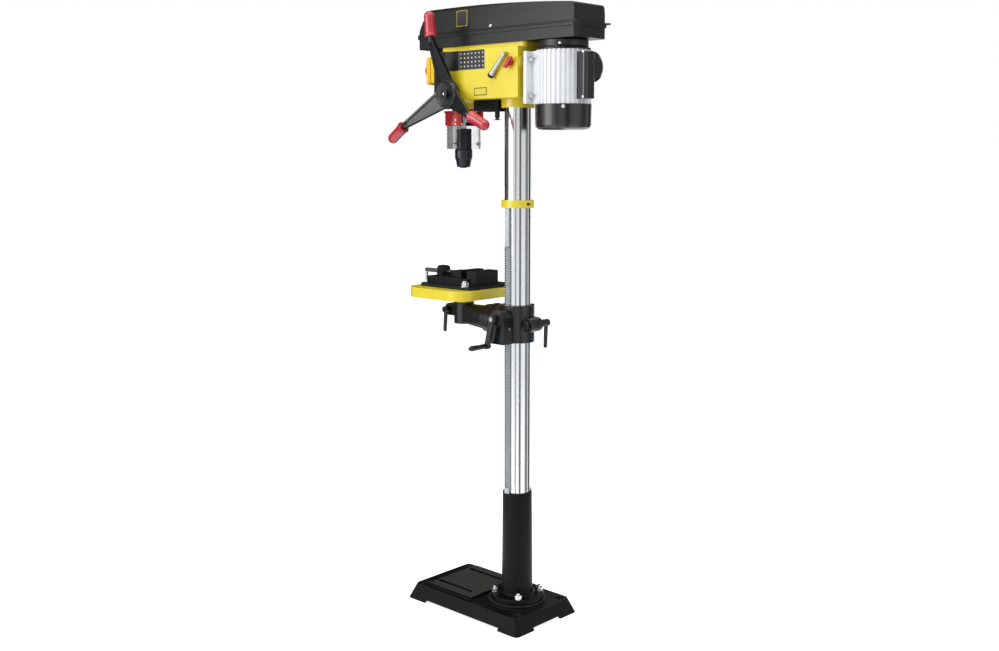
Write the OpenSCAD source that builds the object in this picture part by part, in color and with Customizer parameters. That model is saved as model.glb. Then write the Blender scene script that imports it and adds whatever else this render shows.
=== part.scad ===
// Floor-standing pillar drill: cast base, round column with a rack, tilting and lifting
// table with a drill vise, and a belt-driven head with a quill feed.
// Millimetres. +Z is up, the operator stands at -Y, the feed handle is on +X.
// The origin is on the floor, at the centre of the four floor-bolt holes.

/* [Layout] */
// Floor-bolt centre back to the column axis
col_y = 99; // [90:1:108]
// Column axis forward to the spindle axis
throat = 200; // [194:1:206]
// Underside of the head above the floor
head_z = 1391; // [1371:1:1451]
// Underside of the table bracket above the floor
bracket_z = 757; // [657:1:800]
// Top of the column support above the floor
support_top = 348; // [300:1:380]
// Underside of the rack ring above the floor
ring_z = 1111; // [1091:1:1131]
// Side clearance between pieces that only lie together
seat = 0.05; // [0.02:0.01:0.08]
// Gap between bodies that move past each other
gap = 0.3; // [0.2:0.05:0.5]
// Radial clearance of a shaft or slide in its bore
run = 0.05; // [0.02:0.01:0.08]

/* [Base] */
// Width of the base on the floor
base_w = 248; // [240:1:260]
// Length of the base on the floor
base_l = 420; // [412:1:430]
// Height of the base's deck
base_h = 41; // [38:1:46]
// How far each side leans in from floor to deck
base_draft = 16; // [8:1:17]
// Corner radius on the floor
base_corner = 14; // [12:1:26]
// Wall of the casting
base_wall = 8; // [6:0.5:9]
// How far the skirt is raised between the corner feet
foot_lift = 8; // [4:1:10]
// Length of each corner foot along the sides
foot_l = 70; // [60:1:76]
// Spacing of the floor bolts across
floor_dx = 170; // [164:1:176]
// Spacing of the floor bolts along
floor_dy = 350; // [344:1:356]
// Floor-bolt hole
floor_hole = 12; // [10:0.5:14]
// Width of the machined work pad
pad_w = 186; // [176:1:196]
// Length of the machined work pad
pad_l = 164; // [150:1:166]
// How far the pad stands above the deck
pad_rise = 9; // [6:1:12]
// Spacing of the pad's two slots
slot_dx = 122; // [110:1:130]
// Width of a base slot
slot_w = 11; // [11:0.5:14]
// Length of a base slot
slot_l = 130; // [110:1:134]

/* [Column] */
// Column outer diameter
col_d = 70; // [68:0.5:71]
// Column wall
col_wall = 4; // [3:0.5:6]
// How far the column reaches into the head
col_in_head = 94; // [80:1:98]
// Diameter of the support's bolting flange
flange_d = 146; // [142:1:154]
// Thickness of the support's flange
flange_t = 15; // [12:1:18]
// Bolt circle of the flange
flange_pcd = 120; // [116:1:124]
// Flange bolt diameter
flange_bolt = 10; // [8:1:11]
// Rack width
rack_w = 15; // [13:0.5:17]
// Module of the lifting rack, gear and worm
lift_m = 2; // [1.9:0.05:2.1]
// Teeth on the lifting gear
lift_teeth = 14; // [14:1:15]
// Metal behind the rack teeth
rack_back = 3.3; // [3:0.1:4]
// Height of the rack ring
ring_h = 20; // [16:1:26]

/* [Table] */
// Bracket height on the column
bracket_h = 98; // [92:1:104]
// Wall of the bracket round the column
bracket_wall = 10; // [8:0.5:12]
// Column axis to the tilt face
tilt_face = 92; // [88:1:96]
// Height of the tilt axis above the bracket's underside
tilt_rise = 52; // [50:1:54]
// Diameter of the tilt flange
tilt_d = 76; // [72:1:80]
// Table top above the tilt axis
table_rise = 81; // [79:1:86]
// Table width
table_w = 252; // [240:2:260]
// Table length
table_l = 222; // [214:2:232]
// Corner radius of the table
table_corner = 50; // [40:1:56]
// Depth of the table's rim
rim_h = 27; // [24:1:28]
// Table plate thickness
plate_t = 9; // [7:0.5:11]
// Diameter of the table's stem
stem_d = 40; // [36:1:42]
// Width of a table slot
table_slot_w = 14; // [13:0.5:16]
// Spacing of the table's slots
table_slot_dx = 150; // [144:1:154]
// Length of a table slot
table_slot_l = 196; // [190:1:200]
// Crank arm length
crank_l = 74; // [60:1:80]
// Crank grip length
crank_grip_l = 57; // [50:1:66]

/* [Vise] */
// Width of the vise's base plate
vise_w = 172; // [166:1:182]
// Length of the vise's base plate
vise_l = 202; // [192:1:206]
// Thickness of the vise's base plate
vise_t = 8; // [7:0.5:11]
// Width of the vise jaws
jaw_w = 88; // [76:1:96]
// Height of the jaws above the base plate
jaw_h = 38; // [34:1:42]
// Opening between the jaws
jaw_gap = 22; // [16:1:26]
// Vise screw diameter
vise_screw_d = 12; // [10:0.5:14]

/* [Head] */
// Head width
head_w = 150; // [144:1:156]
// Head height without its neck
head_h = 127; // [124:1:131]
// Column axis to the head's rear face
head_rear = 67; // [62:1:69]
// Spindle axis to the head's front face
head_front = 43; // [41:1:47]
// Wall of the casting
head_wall = 8; // [6:0.5:9]
// Thickness of the front panel
panel_t = 4; // [3:0.5:5]
// Length of the front panel along the sides
panel_l = 57; // [50:1:60]
// Height of the neck up to the belt pan
neck_h = 13; // [12:1:16]

/* [Quill and spindle] */
// Quill diameter
quill_d = 48; // [46:0.5:49]
// Quill travel
quill_travel = 80; // [60:1:80]
// Quill length
quill_l = 128; // [126:1:130]
// Module of the feed rack and pinion
feed_m = 1.5; // [1.45:0.05:1.55]
// Teeth on the feed pinion
feed_teeth = 14; // [14:1:15]
// Height of the feed shaft above the head's underside
feed_z = 15; // [13:1:17]
// Feed shaft diameter
feed_d = 16; // [15:0.5:17]
// Spindle diameter in its bearings
spindle_d = 20; // [18:0.5:21]
// Chuck diameter at its body
chuck_d = 43; // [42:0.5:46]
// Chuck diameter at its gripping band
chuck_band_d = 47.6; // [46:0.2:49]
// Top of the chuck below the head's underside
chuck_drop = 73; // [70:1:80]
// Chuck length
chuck_l = 105; // [104:1:110]
// Diameter of the chuck guard
guard_d = 99.5; // [96:0.5:104]
// Length of the clear shield
shield_l = 63; // [56:1:70]

/* [Feed handle] */
// Radius to the tips of the grips
handle_r = 212; // [196:1:218]
// Length of a grip
grip_l = 65; // [55:1:75]
// Grip diameter
grip_d = 28; // [24:1:30]
// Diameter of the hub
hub_d = 78; // [72:1:80]
// Diameter of the depth-stop ring
stop_d = 60; // [54:1:72]
// Lean of the top arm towards the operator, degrees
handle_lean = 5; // [0:0.5:10]

/* [Belt drive] */
// Belt pan and cover width
cover_w = 120; // [118:1:126]
// Cover length in front of the column axis
cover_front = 315; // [305:1:325]
// Cover length behind the column axis
cover_rear = 241; // [234:1:246]
// Height of the belt pan
pan_h = 34; // [30:1:36]
// Wall of the pan and the cover
cover_wall = 3; // [2.5:0.5:3.5]
// Column axis back to the motor axis
motor_y = 153; // [150:1:158]
// Column axis forward to the idler axis
idler_y = 15; // [10:1:20]
// Groove spacing of the step pulleys
step_h = 14; // [13.5:0.25:14.5]
// Belt width at its top
belt_w = 10; // [9:0.5:10]
// Belt height
belt_h = 6; // [5:0.5:6.5]

/* [Motor] */
// Motor body diameter over its ribs
motor_d = 140; // [134:1:144]
// Motor body height
motor_h = 132; // [126:1:134]
// Top of the motor body below the belt pan
motor_drop = 26; // [24:1:28]
// Fan cowl diameter
cowl_d = 142; // [138:1:146]
// Fan cowl height
cowl_h = 62; // [56:1:66]
// Motor foot width
foot_w = 140; // [134:1:146]
// Motor shaft diameter
shaft_d = 19; // [18:0.5:20]
// Slide bar diameter
bar_d = 16; // [14:1:18]
// Spacing of the slide bars
bar_dx = 112; // [108:1:116]

/* [Hidden] */
$fn = 48;
pi = 3.14159265;
col_r = col_d / 2;
spin_y = col_y - throat;
deck_z = base_h + pad_rise;
rack_face = col_r + gap + rack_back + 2.2 * lift_m;
rack_pitch_x = rack_face - 0.9 * lift_m;
gear_r = lift_m * lift_teeth / 2;
gear_x = rack_pitch_x + gear_r;
worm_r = 14;
gear_z = bracket_z + 40;
worm_z = gear_z + gear_r + worm_r;
worm_x0 = rack_face + 2.6;
worm_x1 = gear_x + 21;
crank_x = worm_x1 + 16;
tilt_z = bracket_z + tilt_rise;
table_z = tilt_z + table_rise;
vise_z = table_z;
bed_z = vise_z + vise_t;
jaw_y = 32;
screw_z = bed_z + 26;
pan_z = head_h + neck_h;
seam_z = pan_z + pan_h;
feed_y = -throat + quill_d / 2 - feed_m + feed_m * feed_teeth / 2;
feed_r = feed_m * feed_teeth / 2;
quill_z = -26;
pulley_z = pan_z + cover_wall + 4;
motor_steps = [44, 36, 28, 20];
idler_steps = [26, 34, 42, 50];
spindle_steps = [50, 42, 34, 26];
rear_step = 2;
front_step = 1;
motor_top = pan_z - motor_drop;
motor_z = motor_top - motor_h;
bar_z = 87;
lever_y = 27;
lever_z = 108;
lock_y = 45;
foot_y = motor_y - 71;
sleeve_d = 25;
jaw_tilt = 16;
jaw_start = 75;
chuck_top = -chuck_drop;
chuck_end = chuck_top - chuck_l;

// Helpers: places, and outlines with true arcs
module at_column(z = 0) {
  translate([0, col_y, z]) children();
}

module at_spindle(z = 0) {
  translate([0, spin_y, z]) children();
}

module along_x(x, y, z) {
  translate([x, y, z]) rotate([0, 90, 0]) children();
}

module along_y(x, y, z) {
  translate([x, y, z]) rotate([-90, 0, 0]) children();
}

module rounded(w, l, r) {
  square([w - 2 * r, l], center = true);
  square([w, l - 2 * r], center = true);
  for (x = [-1, 1], y = [-1, 1])
    translate([x * (w / 2 - r), y * (l / 2 - r)]) circle(r);
}

module block(x0, x1, y0, y1, z0, z1) {
  translate([x0, y0, z0]) cube([x1 - x0, y1 - y0, z1 - z0]);
}

module slot(w, l, h) {
  translate([-w / 2, -l / 2 + w / 2, 0]) cube([w, l - w, h]);
  for (s = [-1, 1]) translate([0, s * (l - w) / 2, 0]) cylinder(d = w, h = h);
}

module ring(d_out, d_in, h) {
  difference() {
    cylinder(d = d_out, h = h);
    translate([0, 0, -1]) cylinder(d = d_in, h = h + 2);
  }
}

module hex(flats, h) {
  cylinder(d = flats / cos(30), h = h, $fn = 6);
}

// Rack outline: teeth from z0 on, plain bar from low to high, pitch line at x = 0, body at -X
function rack_points(m, z0, n, back, thin, low, high) = concat(
  [[-back, low], [0.9 * m, low], [0.9 * m, z0 - 0.5 * pi * m]],
  [for (i = [0 : n - 1], s = [0 : 3])
    let (mid = z0 + i * pi * m,
      w = pi * m / 4 - thin,
      tip = 0.9 * m,
      root = 1.3 * m,
      slope = tan(20))
    s == 0 ? [-root, mid - w - root * slope]
    : s == 1 ? [tip, mid - w + tip * slope]
    : s == 2 ? [tip, mid + w - tip * slope]
    : [-root, mid + w + root * slope]],
  [[0.9 * m, z0 + (n - 0.5) * pi * m], [0.9 * m, high], [-back, high]]);

// Involute gear outline: each flank follows the unwinding of the base circle
function inv(a) = tan(a) * 180 / pi - a;
function gear_points(m, n, thin) =
  let (rp = m * n / 2,
    rb = rp * cos(20),
    ra = rp + 0.9 * m,
    rf = rp - 1.25 * m,
    half = 90 / n - thin / rp * 180 / pi)
  [for (i = [0 : n - 1], k = [0 : 9])
    let (side = k < 5 ? -1 : 1,
      j = k < 5 ? k : 9 - k,
      r = j == 0 ? rf : max(rb, rb + (ra - rb) * (j - 1) / 3),
      at = half + inv(20) - inv(acos(min(1, rb / max(rb, r)))),
      turn = j == 0 ? at + 1.2 : at,
      a = i * 360 / n + side * turn)
    [r * cos(a), r * sin(a)]];

module hub_gear(m, n, w, thin) {
  linear_extrude(w, center = true) polygon(gear_points(m, n, thin));
}

// Base: hollow grey-iron casting with corner feet, column boss and slotted work pad
module base_form(inset, z0, z1) {
  hull() {
    translate([0, 0, z0]) linear_extrude(0.5)
      rounded(base_w - 2 * inset, base_l - 2 * inset, base_corner - inset / 2, $fn = 32);
    translate([0, 0, z1 - 0.5]) linear_extrude(0.5)
      rounded(base_w - 2 * inset - 2 * base_draft, base_l - 2 * inset - 2 * base_draft,
        base_corner - inset / 2, $fn = 32);
  }
}

module base_slot() {
  translate([0, 0, -1]) slot(slot_w, slot_l, deck_z + 2);
  translate([0, -slot_l / 2 + slot_w / 2 + 2, -1]) cylinder(d = slot_w + 6, h = deck_z + 2);
}

module base() {
  pad_y = col_y - flange_d / 2 - 12 - pad_l / 2;
  slot_y = pad_y - 10;
  color([0.13, 0.13, 0.14]) difference() {
    union() {
      difference() {
        base_form(0, 0, base_h);
        base_form(base_wall, -1, base_h - base_wall);
      }
      intersection() {
        base_form(1, 0, base_h);
        union() {
          for (x = [-1, 1]) {
            block(x * 34 - 3, x * 34 + 3, -base_l, base_l, foot_lift + 2, base_h);
            block(x * slot_dx / 2 - slot_w, x * slot_dx / 2 + slot_w,
              slot_y - slot_l / 2 - 8, slot_y + slot_l / 2 + 8, base_h - 20, base_h);
          }
          for (y = [pad_y - pad_l / 2, pad_y + pad_l / 2, col_y + flange_d / 2])
            block(-base_w, base_w, y - 3, y + 3, foot_lift + 2, base_h);
          for (x = [-1, 1], y = [-1, 1])
            translate([x * floor_dx / 2, y * floor_dy / 2, 0]) cylinder(r = 17, h = base_h);
        }
      }
      translate([0, pad_y, base_h - base_wall]) linear_extrude(pad_rise + base_wall)
        rounded(pad_w, pad_l, 4);
      at_column(foot_lift + 2) cylinder(d = flange_d + 10, h = deck_z - foot_lift - 2);
    }
    at_column(-1) cylinder(d = flange_d - 60, h = base_h - 8);
    for (y = [0, 90]) rotate([0, 0, y])
      block(-(y == 0 ? base_w : base_l), y == 0 ? base_w : base_l,
        -(y == 0 ? base_l : base_w) / 2 + foot_l, (y == 0 ? base_l : base_w) / 2 - foot_l,
        -1, foot_lift);
    for (x = [-1, 1], y = [-1, 1]) translate([x * floor_dx / 2, y * floor_dy / 2, -1]) {
      cylinder(d = floor_hole, h = base_h + 2);
      translate([0, 0, base_h - 2]) cylinder(r = 13, h = 6);
    }
    for (x = [-1, 1]) translate([x * slot_dx / 2, slot_y, 0]) base_slot();
    flange_places() cylinder(d = flange_bolt + 2 * seat, h = 60, center = true);
  }
}

module flange_places() {
  for (a = [45 : 90 : 315])
    at_column(deck_z) rotate([0, 0, a]) translate([flange_pcd / 2, 0, 0]) children();
}

// Column support: flange, fillet and tapered socket that holds the column's foot
module column_support() {
  bore = col_r + seat;
  neck = col_r + 7;
  top = flange_t + deck_z;
  color([0.12, 0.12, 0.13]) at_column() difference() {
    rotate_extrude($fn = 72) polygon([[bore, deck_z], [flange_d / 2, deck_z],
      [flange_d / 2, top - 2], [flange_d / 2 - 2, top], [neck + 7, top], [neck + 2.5, top + 1.5],
      [neck + 0.6, top + 5], [neck, top + 11], [col_r + 4.5, support_top - 8],
      [col_r + 4, support_top], [bore, support_top]]);
    for (a = [45 : 90 : 315]) rotate([0, 0, a]) translate([flange_pcd / 2, 0, deck_z - 1])
      cylinder(d = flange_bolt + 1, h = flange_t + 2);
  }
}

module support_bolts() {
  washer = 2.5;
  nut = 0.9 * flange_bolt;
  color("silver") flange_places() {
    translate([0, 0, flange_t]) cylinder(d = 2 * flange_bolt, h = washer);
    translate([0, 0, flange_t + washer]) hex(1.7 * flange_bolt, nut);
    translate([0, 0, -14]) cylinder(d = flange_bolt, h = 14 + flange_t + washer + nut + 5);
  }
}

module column() {
  color("gainsboro") at_column(deck_z)
    ring(col_d, col_d - 2 * col_wall, head_z + col_in_head - deck_z, $fn = 72);
}

module rack_ring() {
  color("gold") at_column(ring_z) difference() {
    cylinder(d = 2 * (rack_face + 0.4), h = ring_h, $fn = 72);
    translate([0, 0, -1]) cylinder(r = col_r + seat, h = ring_h + 2, $fn = 72);
    along_y(0, col_r - 1, ring_h / 2) cylinder(d = 6, h = 20);
  }
}

// Rack: toothed steel bar that stands between the support and the ring and swings round them
module rack() {
  bottom = support_top + gap;
  top = ring_z - gap;
  pitch = pi * lift_m;
  down = floor((gear_z - bottom - 14) / pitch);
  up = floor((ring_z - 100 - gear_z) / pitch);
  color("gainsboro") at_column() {
    translate([rack_pitch_x, 0, 0]) rotate([90, 0, 0]) linear_extrude(rack_w, center = true)
      polygon(rack_points(lift_m, gear_z - (down - 0.5) * pitch, up + down,
        rack_pitch_x - col_r - gap, 0.12, bottom, top));
  }
}

// Table bracket: split sleeve on the column with the lifting gearbox and the tilt boss
module bracket_lift_room() {
  translate([gear_x, 0, gear_z]) rotate([90, 0, 0])
    cylinder(r = gear_r + 0.9 * lift_m + 1, h = rack_w, center = true);
  block(0, gear_x, -rack_w / 2, rack_w / 2, gear_z - gear_r, gear_z + gear_r);
  along_x(worm_x0 - 1, 0, worm_z) cylinder(r = worm_r + 3, h = worm_x1 - worm_x0 + 1);
  along_x(worm_x0, 0, worm_z) cylinder(d = 12 + 2 * run, h = 80);
  translate([gear_x, 0, gear_z]) rotate([90, 0, 0])
    cylinder(d = 8 + 2 * run, h = 60, center = true);
}

module table_bracket() {
  out = col_r + bracket_wall;
  box_x = worm_x1 + 4;
  ear_y = out + 8;
  color([0.14, 0.14, 0.15]) at_column() difference() {
    union() {
      translate([0, 0, bracket_z]) cylinder(r = out, h = bracket_h, $fn = 72);
      along_y(0, -tilt_face, tilt_z) cylinder(d = tilt_d + 4, h = tilt_face - 30, $fn = 72);
      along_y(0, -tilt_face + 12, tilt_z) cylinder(d = tilt_d + 10, h = 8, $fn = 72);
      block(30, box_x, -22, 22, bracket_z, worm_z);
      along_x(30, 0, worm_z) cylinder(r = 22, h = box_x - 30);
      along_x(box_x, 0, worm_z) cylinder(r = 20, h = 4);
      along_x(box_x, 0, worm_z) cylinder(r = 16, h = 8);
      block(-20, 20, out - 8, ear_y, tilt_z - 22, tilt_z + 16);
      along_x(-20, ear_y, tilt_z - 3) cylinder(r = 19, h = 40);
    }
    translate([0, 0, bracket_z - 1]) cylinder(r = col_r + run, h = bracket_h + 2, $fn = 72);
    block(0, rack_face + gap, -rack_w / 2 - gap, rack_w / 2 + gap,
      bracket_z - 1, bracket_z + bracket_h + 1);
    bracket_lift_room();
    block(-1.5, 1.5, 20, ear_y + 30, bracket_z - 1, bracket_z + bracket_h + 1);
    along_x(-40, ear_y, tilt_z - 3) cylinder(d = 12 + 2 * run, h = 80);
    along_y(0, -tilt_face - 1, tilt_z) cylinder(d = 20 + 2 * run, h = 34);
  }
}

module lift_gear() {
  color("silver") translate([gear_x, col_y, gear_z]) rotate([90, 0, 0]) {
    rotate([0, 0, 180]) hub_gear(lift_m, lift_teeth, rack_w - 2, 0.06);
    cylinder(d = 8, h = 44, center = true);
  }
}

// Worm thread: a helix of trapezoid sections that turn once for each rack pitch
worm_rings = 16;
worm_turns = 3;
function worm_section(t) =
  let (pitch = pi * lift_m, a = t * 360)
  [for (p = [[-1.2 * lift_m, -1], [0.9 * lift_m, -1], [0.9 * lift_m, 1], [-1.2 * lift_m, 1]])
    let (half = pitch / 4 - 0.55 - p[0] * tan(20))
    [(worm_r + p[0]) * cos(a), (worm_r + p[0]) * sin(a), t * pitch + p[1] * half]];

module worm_thread() {
  n = worm_rings * worm_turns;
  points = [for (i = [0 : n]) each worm_section(i / worm_rings)];
  sides = [for (i = [0 : n - 1], k = [0 : 3])
    let (a = 4 * i + k, b = 4 * i + (k + 1) % 4)
    each [[a, b, b + 4], [a, b + 4, a + 4]]];
  ends = [[3, 2, 1], [3, 1, 0], [4 * n, 4 * n + 1, 4 * n + 2], [4 * n, 4 * n + 2, 4 * n + 3]];
  polyhedron(points, concat(sides, ends));
}

module worm_shaft() {
  color("silver") translate([0, col_y, worm_z]) {
    translate([gear_x - pi * lift_m, 0, 0]) rotate([0, 90, 0]) worm_thread();
    along_x(worm_x0 + 1, 0, 0) cylinder(r = worm_r - 1.1 * lift_m, h = worm_x1 - worm_x0 - 2);
    along_x(worm_x0 + 2, 0, 0) cylinder(d = 12, h = crank_x + 12 - worm_x0 - 2);
  }
}

// Crank: forged arm clamped on the worm shaft, with a free-turning grip on its pin
crank_end = [-0.243 * crank_l, -0.97 * crank_l];

module crank() {
  color([0.16, 0.16, 0.17]) translate([0, col_y, worm_z]) difference() {
    union() {
      along_x(crank_x - 1, 0, 0) cylinder(r = 11, h = 14);
      hull() {
        along_x(crank_x + 2, 0, 0) cylinder(r = 8, h = 8, $fn = 32);
        along_x(crank_x + 2, crank_end[0], crank_end[1]) cylinder(r = 7, h = 8, $fn = 32);
      }
      along_x(crank_x, crank_end[0], crank_end[1]) cylinder(r = 8.5, h = 12);
      along_x(crank_x, crank_end[0], crank_end[1]) cylinder(d = 6, h = crank_grip_l + 13);
      along_x(crank_x + crank_grip_l + 12 + 2 * gap, crank_end[0], crank_end[1])
        cylinder(d = 9, h = 2);
    }
    along_x(crank_x - 2, 0, 0) cylinder(d = 12 + 2 * seat, h = 15.1);
  }
}

module crank_grip() {
  color([0.1, 0.1, 0.1])
    along_x(crank_x + 12 + gap, col_y + crank_end[0], worm_z + crank_end[1])
    rotate_extrude() polygon([[3 + run, 0], [6, 0], [7, 4], [6.4, crank_grip_l * 0.4],
      [7.4, crank_grip_l - 7], [6.4, crank_grip_l - 2], [5, crank_grip_l], [3 + run, crank_grip_l]]);
}

// Column lock: clamp bolt through the split ears, with its lever on the left
module column_lock() {
  y = col_y + col_r + bracket_wall + 8;
  z = tilt_z - 3;
  color([0.15, 0.15, 0.16]) {
    along_x(20 + gap, y, z) hex(19, 8);
    along_x(-50, y, z) cylinder(d = 12, h = 71);
    along_x(-60, y, z) cylinder(r = 10, h = 40 - gap);
    translate([-54, y, z]) rotate([178, 0, 0]) {
      cylinder(d1 = 11, d2 = 10, h = 64);
      translate([0, 0, 64]) sphere(d = 10);
    }
  }
}

// Table arm: tilt flange, ribbed arm and split hub that holds the table's stem
arm_hub_h = 59;

module table_arm() {
  face = col_y - tilt_face - gap;
  hub_z = tilt_z - 23;
  lug_y = spin_y - stem_d / 2 - 24;
  color([0.13, 0.13, 0.14]) difference() {
    union() {
      along_y(0, face - 14, tilt_z) cylinder(d = tilt_d, h = 14, $fn = 72);
      along_y(0, face, tilt_z) cylinder(d = 20, h = 32);
      hull() {
        along_y(0, face - 16, tilt_z) cylinder(d = tilt_d - 10, h = 10, $fn = 32);
        at_spindle(hub_z + 6) cylinder(d = stem_d + 4, h = arm_hub_h - 14, $fn = 32);
      }
      at_spindle(hub_z) cylinder(d = stem_d + 16, h = arm_hub_h);
      block(-16, 16, lug_y, spin_y - stem_d / 2, tilt_z - 4, tilt_z + 30);
      along_x(-16, lug_y, tilt_z + 13) cylinder(r = 17, h = 32);
    }
    at_spindle(hub_z - 1) cylinder(d = stem_d + 2 * run, h = arm_hub_h + 2);
    block(-1.5, 1.5, lug_y - 30, spin_y, hub_z - 1, hub_z + arm_hub_h + 1);
    along_x(-40, lug_y, tilt_z + 13) cylinder(d = 10 + 2 * run, h = 80);
  }
}

module table_lock() {
  y = spin_y - stem_d / 2 - 24;
  z = tilt_z + 13;
  color([0.12, 0.12, 0.12]) {
    along_x(-16 - gap - 7, y, z) hex(16, 7);
    along_x(-18, y, z) cylinder(d = 10, h = 50);
    along_x(16 + gap, y, z) cylinder(r = 9, h = 18);
    translate([28, y, z]) rotate([176, 0, 0]) {
      cylinder(d1 = 11, d2 = 10, h = 58);
      translate([0, 0, 58]) sphere(d = 10);
    }
  }
}

// Table: cast plate with rim, underside ribs, two clamping slots and a turned stem
rim_wall = 8;

module table() {
  low = table_z - rim_h;
  color("gold") at_spindle() difference() {
    union() {
      difference() {
        translate([0, 0, low]) linear_extrude(rim_h) rounded(table_w, table_l, table_corner);
        translate([0, 0, low - 1]) linear_extrude(rim_h - plate_t + 1)
          rounded(table_w - 2 * rim_wall, table_l - 2 * rim_wall, table_corner - rim_wall);
      }
      for (x = [-1, 1]) {
        block(x * 30 - 3, x * 30 + 3, -table_l / 2 + 4, table_l / 2 - 4, low + 4, table_z - 1);
        translate([x * table_slot_dx / 2, 0, low + 6])
          slot(table_slot_w + 12, table_slot_l + 12, rim_h - 7);
      }
      block(-table_w / 2 + 4, table_w / 2 - 4, -3, 3, low + 4, table_z - 1);
      translate([0, 0, tilt_z - 23 + arm_hub_h + gap])
        cylinder(d = stem_d + 14, h = table_z - 1 - tilt_z + 23 - arm_hub_h - gap);
      translate([0, 0, tilt_z - 21]) cylinder(d = stem_d, h = table_rise + 20);
    }
    for (x = [-1, 1]) translate([x * table_slot_dx / 2, 0, low - 1])
      slot(table_slot_w, table_slot_l, rim_h + 2);
    translate([0, 0, tilt_z - 22]) cylinder(d = stem_d - 14, h = table_rise + 30);
  }
}

// Drill vise: flanged body with nut bridge, sliding jaw and cranked screw
vise_y = 7;
nut_y0 = vise_y - vise_l / 2 + 2;
nut_y1 = nut_y0 + 22;
bed_h = 17;
vise_nut = 19;
vise_bolt = 12;
bolt_y = vise_y + vise_l / 2 - 31;

// One bolt at the rear on the near side, one beside the jaws on the far side
module vise_bolt_places() {
  for (p = [[1, bolt_y], [-1, bolt_y - 57]])
    translate([p[0] * table_slot_dx / 2, p[1], 0]) children();
}

module vise_body() {
  fixed_y = jaw_y + jaw_gap;
  top = screw_z + 17;
  color([0.17, 0.17, 0.19]) at_spindle() difference() {
    union() {
      translate([0, vise_y, vise_z]) linear_extrude(vise_t) rounded(vise_w, vise_l, 20);
      block(-52, 52, vise_y - vise_l / 2 + 1, fixed_y + 10, bed_z - 1, bed_z + bed_h);
      block(-jaw_w / 2, jaw_w / 2, fixed_y, fixed_y + 33, bed_z - 1, bed_z + jaw_h);
      translate([0, nut_y1, 0]) rotate([90, 0, 0]) linear_extrude(nut_y1 - nut_y0)
        polygon([[-17, bed_z], [17, bed_z], [15, top - 6], [9, top], [-9, top], [-15, top - 6]]);
    }
    block(-14, 14, nut_y1 + 2, fixed_y - 2, vise_z - 1, bed_z + bed_h + 1);
    along_y(0, nut_y0 - 5, screw_z)
      cylinder(d = vise_screw_d + 2 * run, h = nut_y1 - nut_y0 + 10);
    vise_bolt_places() translate([0, 0, vise_z - 1]) cylinder(d = vise_bolt + 1, h = vise_t + 2);
  }
}

module vise_bolts() {
  under = table_z - rim_h - 2;
  washer = 2;
  nut = 10;
  color("silver") at_spindle() vise_bolt_places() {
    translate([0, 0, under]) cylinder(d = vise_bolt, h = bed_z + washer + nut + 4 - under);
    translate([0, 0, bed_z]) cylinder(d = 2 * vise_bolt, h = washer);
    translate([0, 0, bed_z + washer]) hex(vise_nut, nut);
    translate([0, 0, under]) hex(vise_nut, 7);
  }
}

module vise_jaw() {
  top = bed_z + jaw_h;
  floor_z = bed_z + bed_h + gap;
  tail = 64;
  color([0.16, 0.16, 0.18]) at_spindle() difference() {
    union() {
      block(-jaw_w / 2, jaw_w / 2, jaw_y - 28, jaw_y, floor_z, top);
      block(-20, 20, jaw_y - tail, jaw_y - 27, floor_z, top - 5);
      block(-14 + gap, 14 - gap, jaw_y - 26, jaw_y - 2, vise_z + 2, floor_z + 1);
    }
    along_y(0, jaw_y - tail - 1, screw_z)
      cylinder(d = vise_screw_d + 2 * run, h = tail - 10);
    block(-jaw_w / 2 - 1, jaw_w / 2 + 1, jaw_y - 29, jaw_y - 20, top - 4, top + 1);
    block(-1.2, 1.2, jaw_y - 1, jaw_y + 1, floor_z - 1, top + 1);
  }
}

module vise_screw() {
  end_y = -150;
  color("silver") at_spindle() {
    along_y(0, end_y, screw_z) cylinder(d = vise_screw_d, h = jaw_y - 12 - end_y);
    translate([0, end_y, screw_z]) rotate([180, 0, 0]) cylinder(d = 8, h = 32);
    translate([0, end_y, screw_z - 32]) sphere(d = 9);
    translate([0, end_y, screw_z]) sphere(d = vise_screw_d);
  }
}

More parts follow.
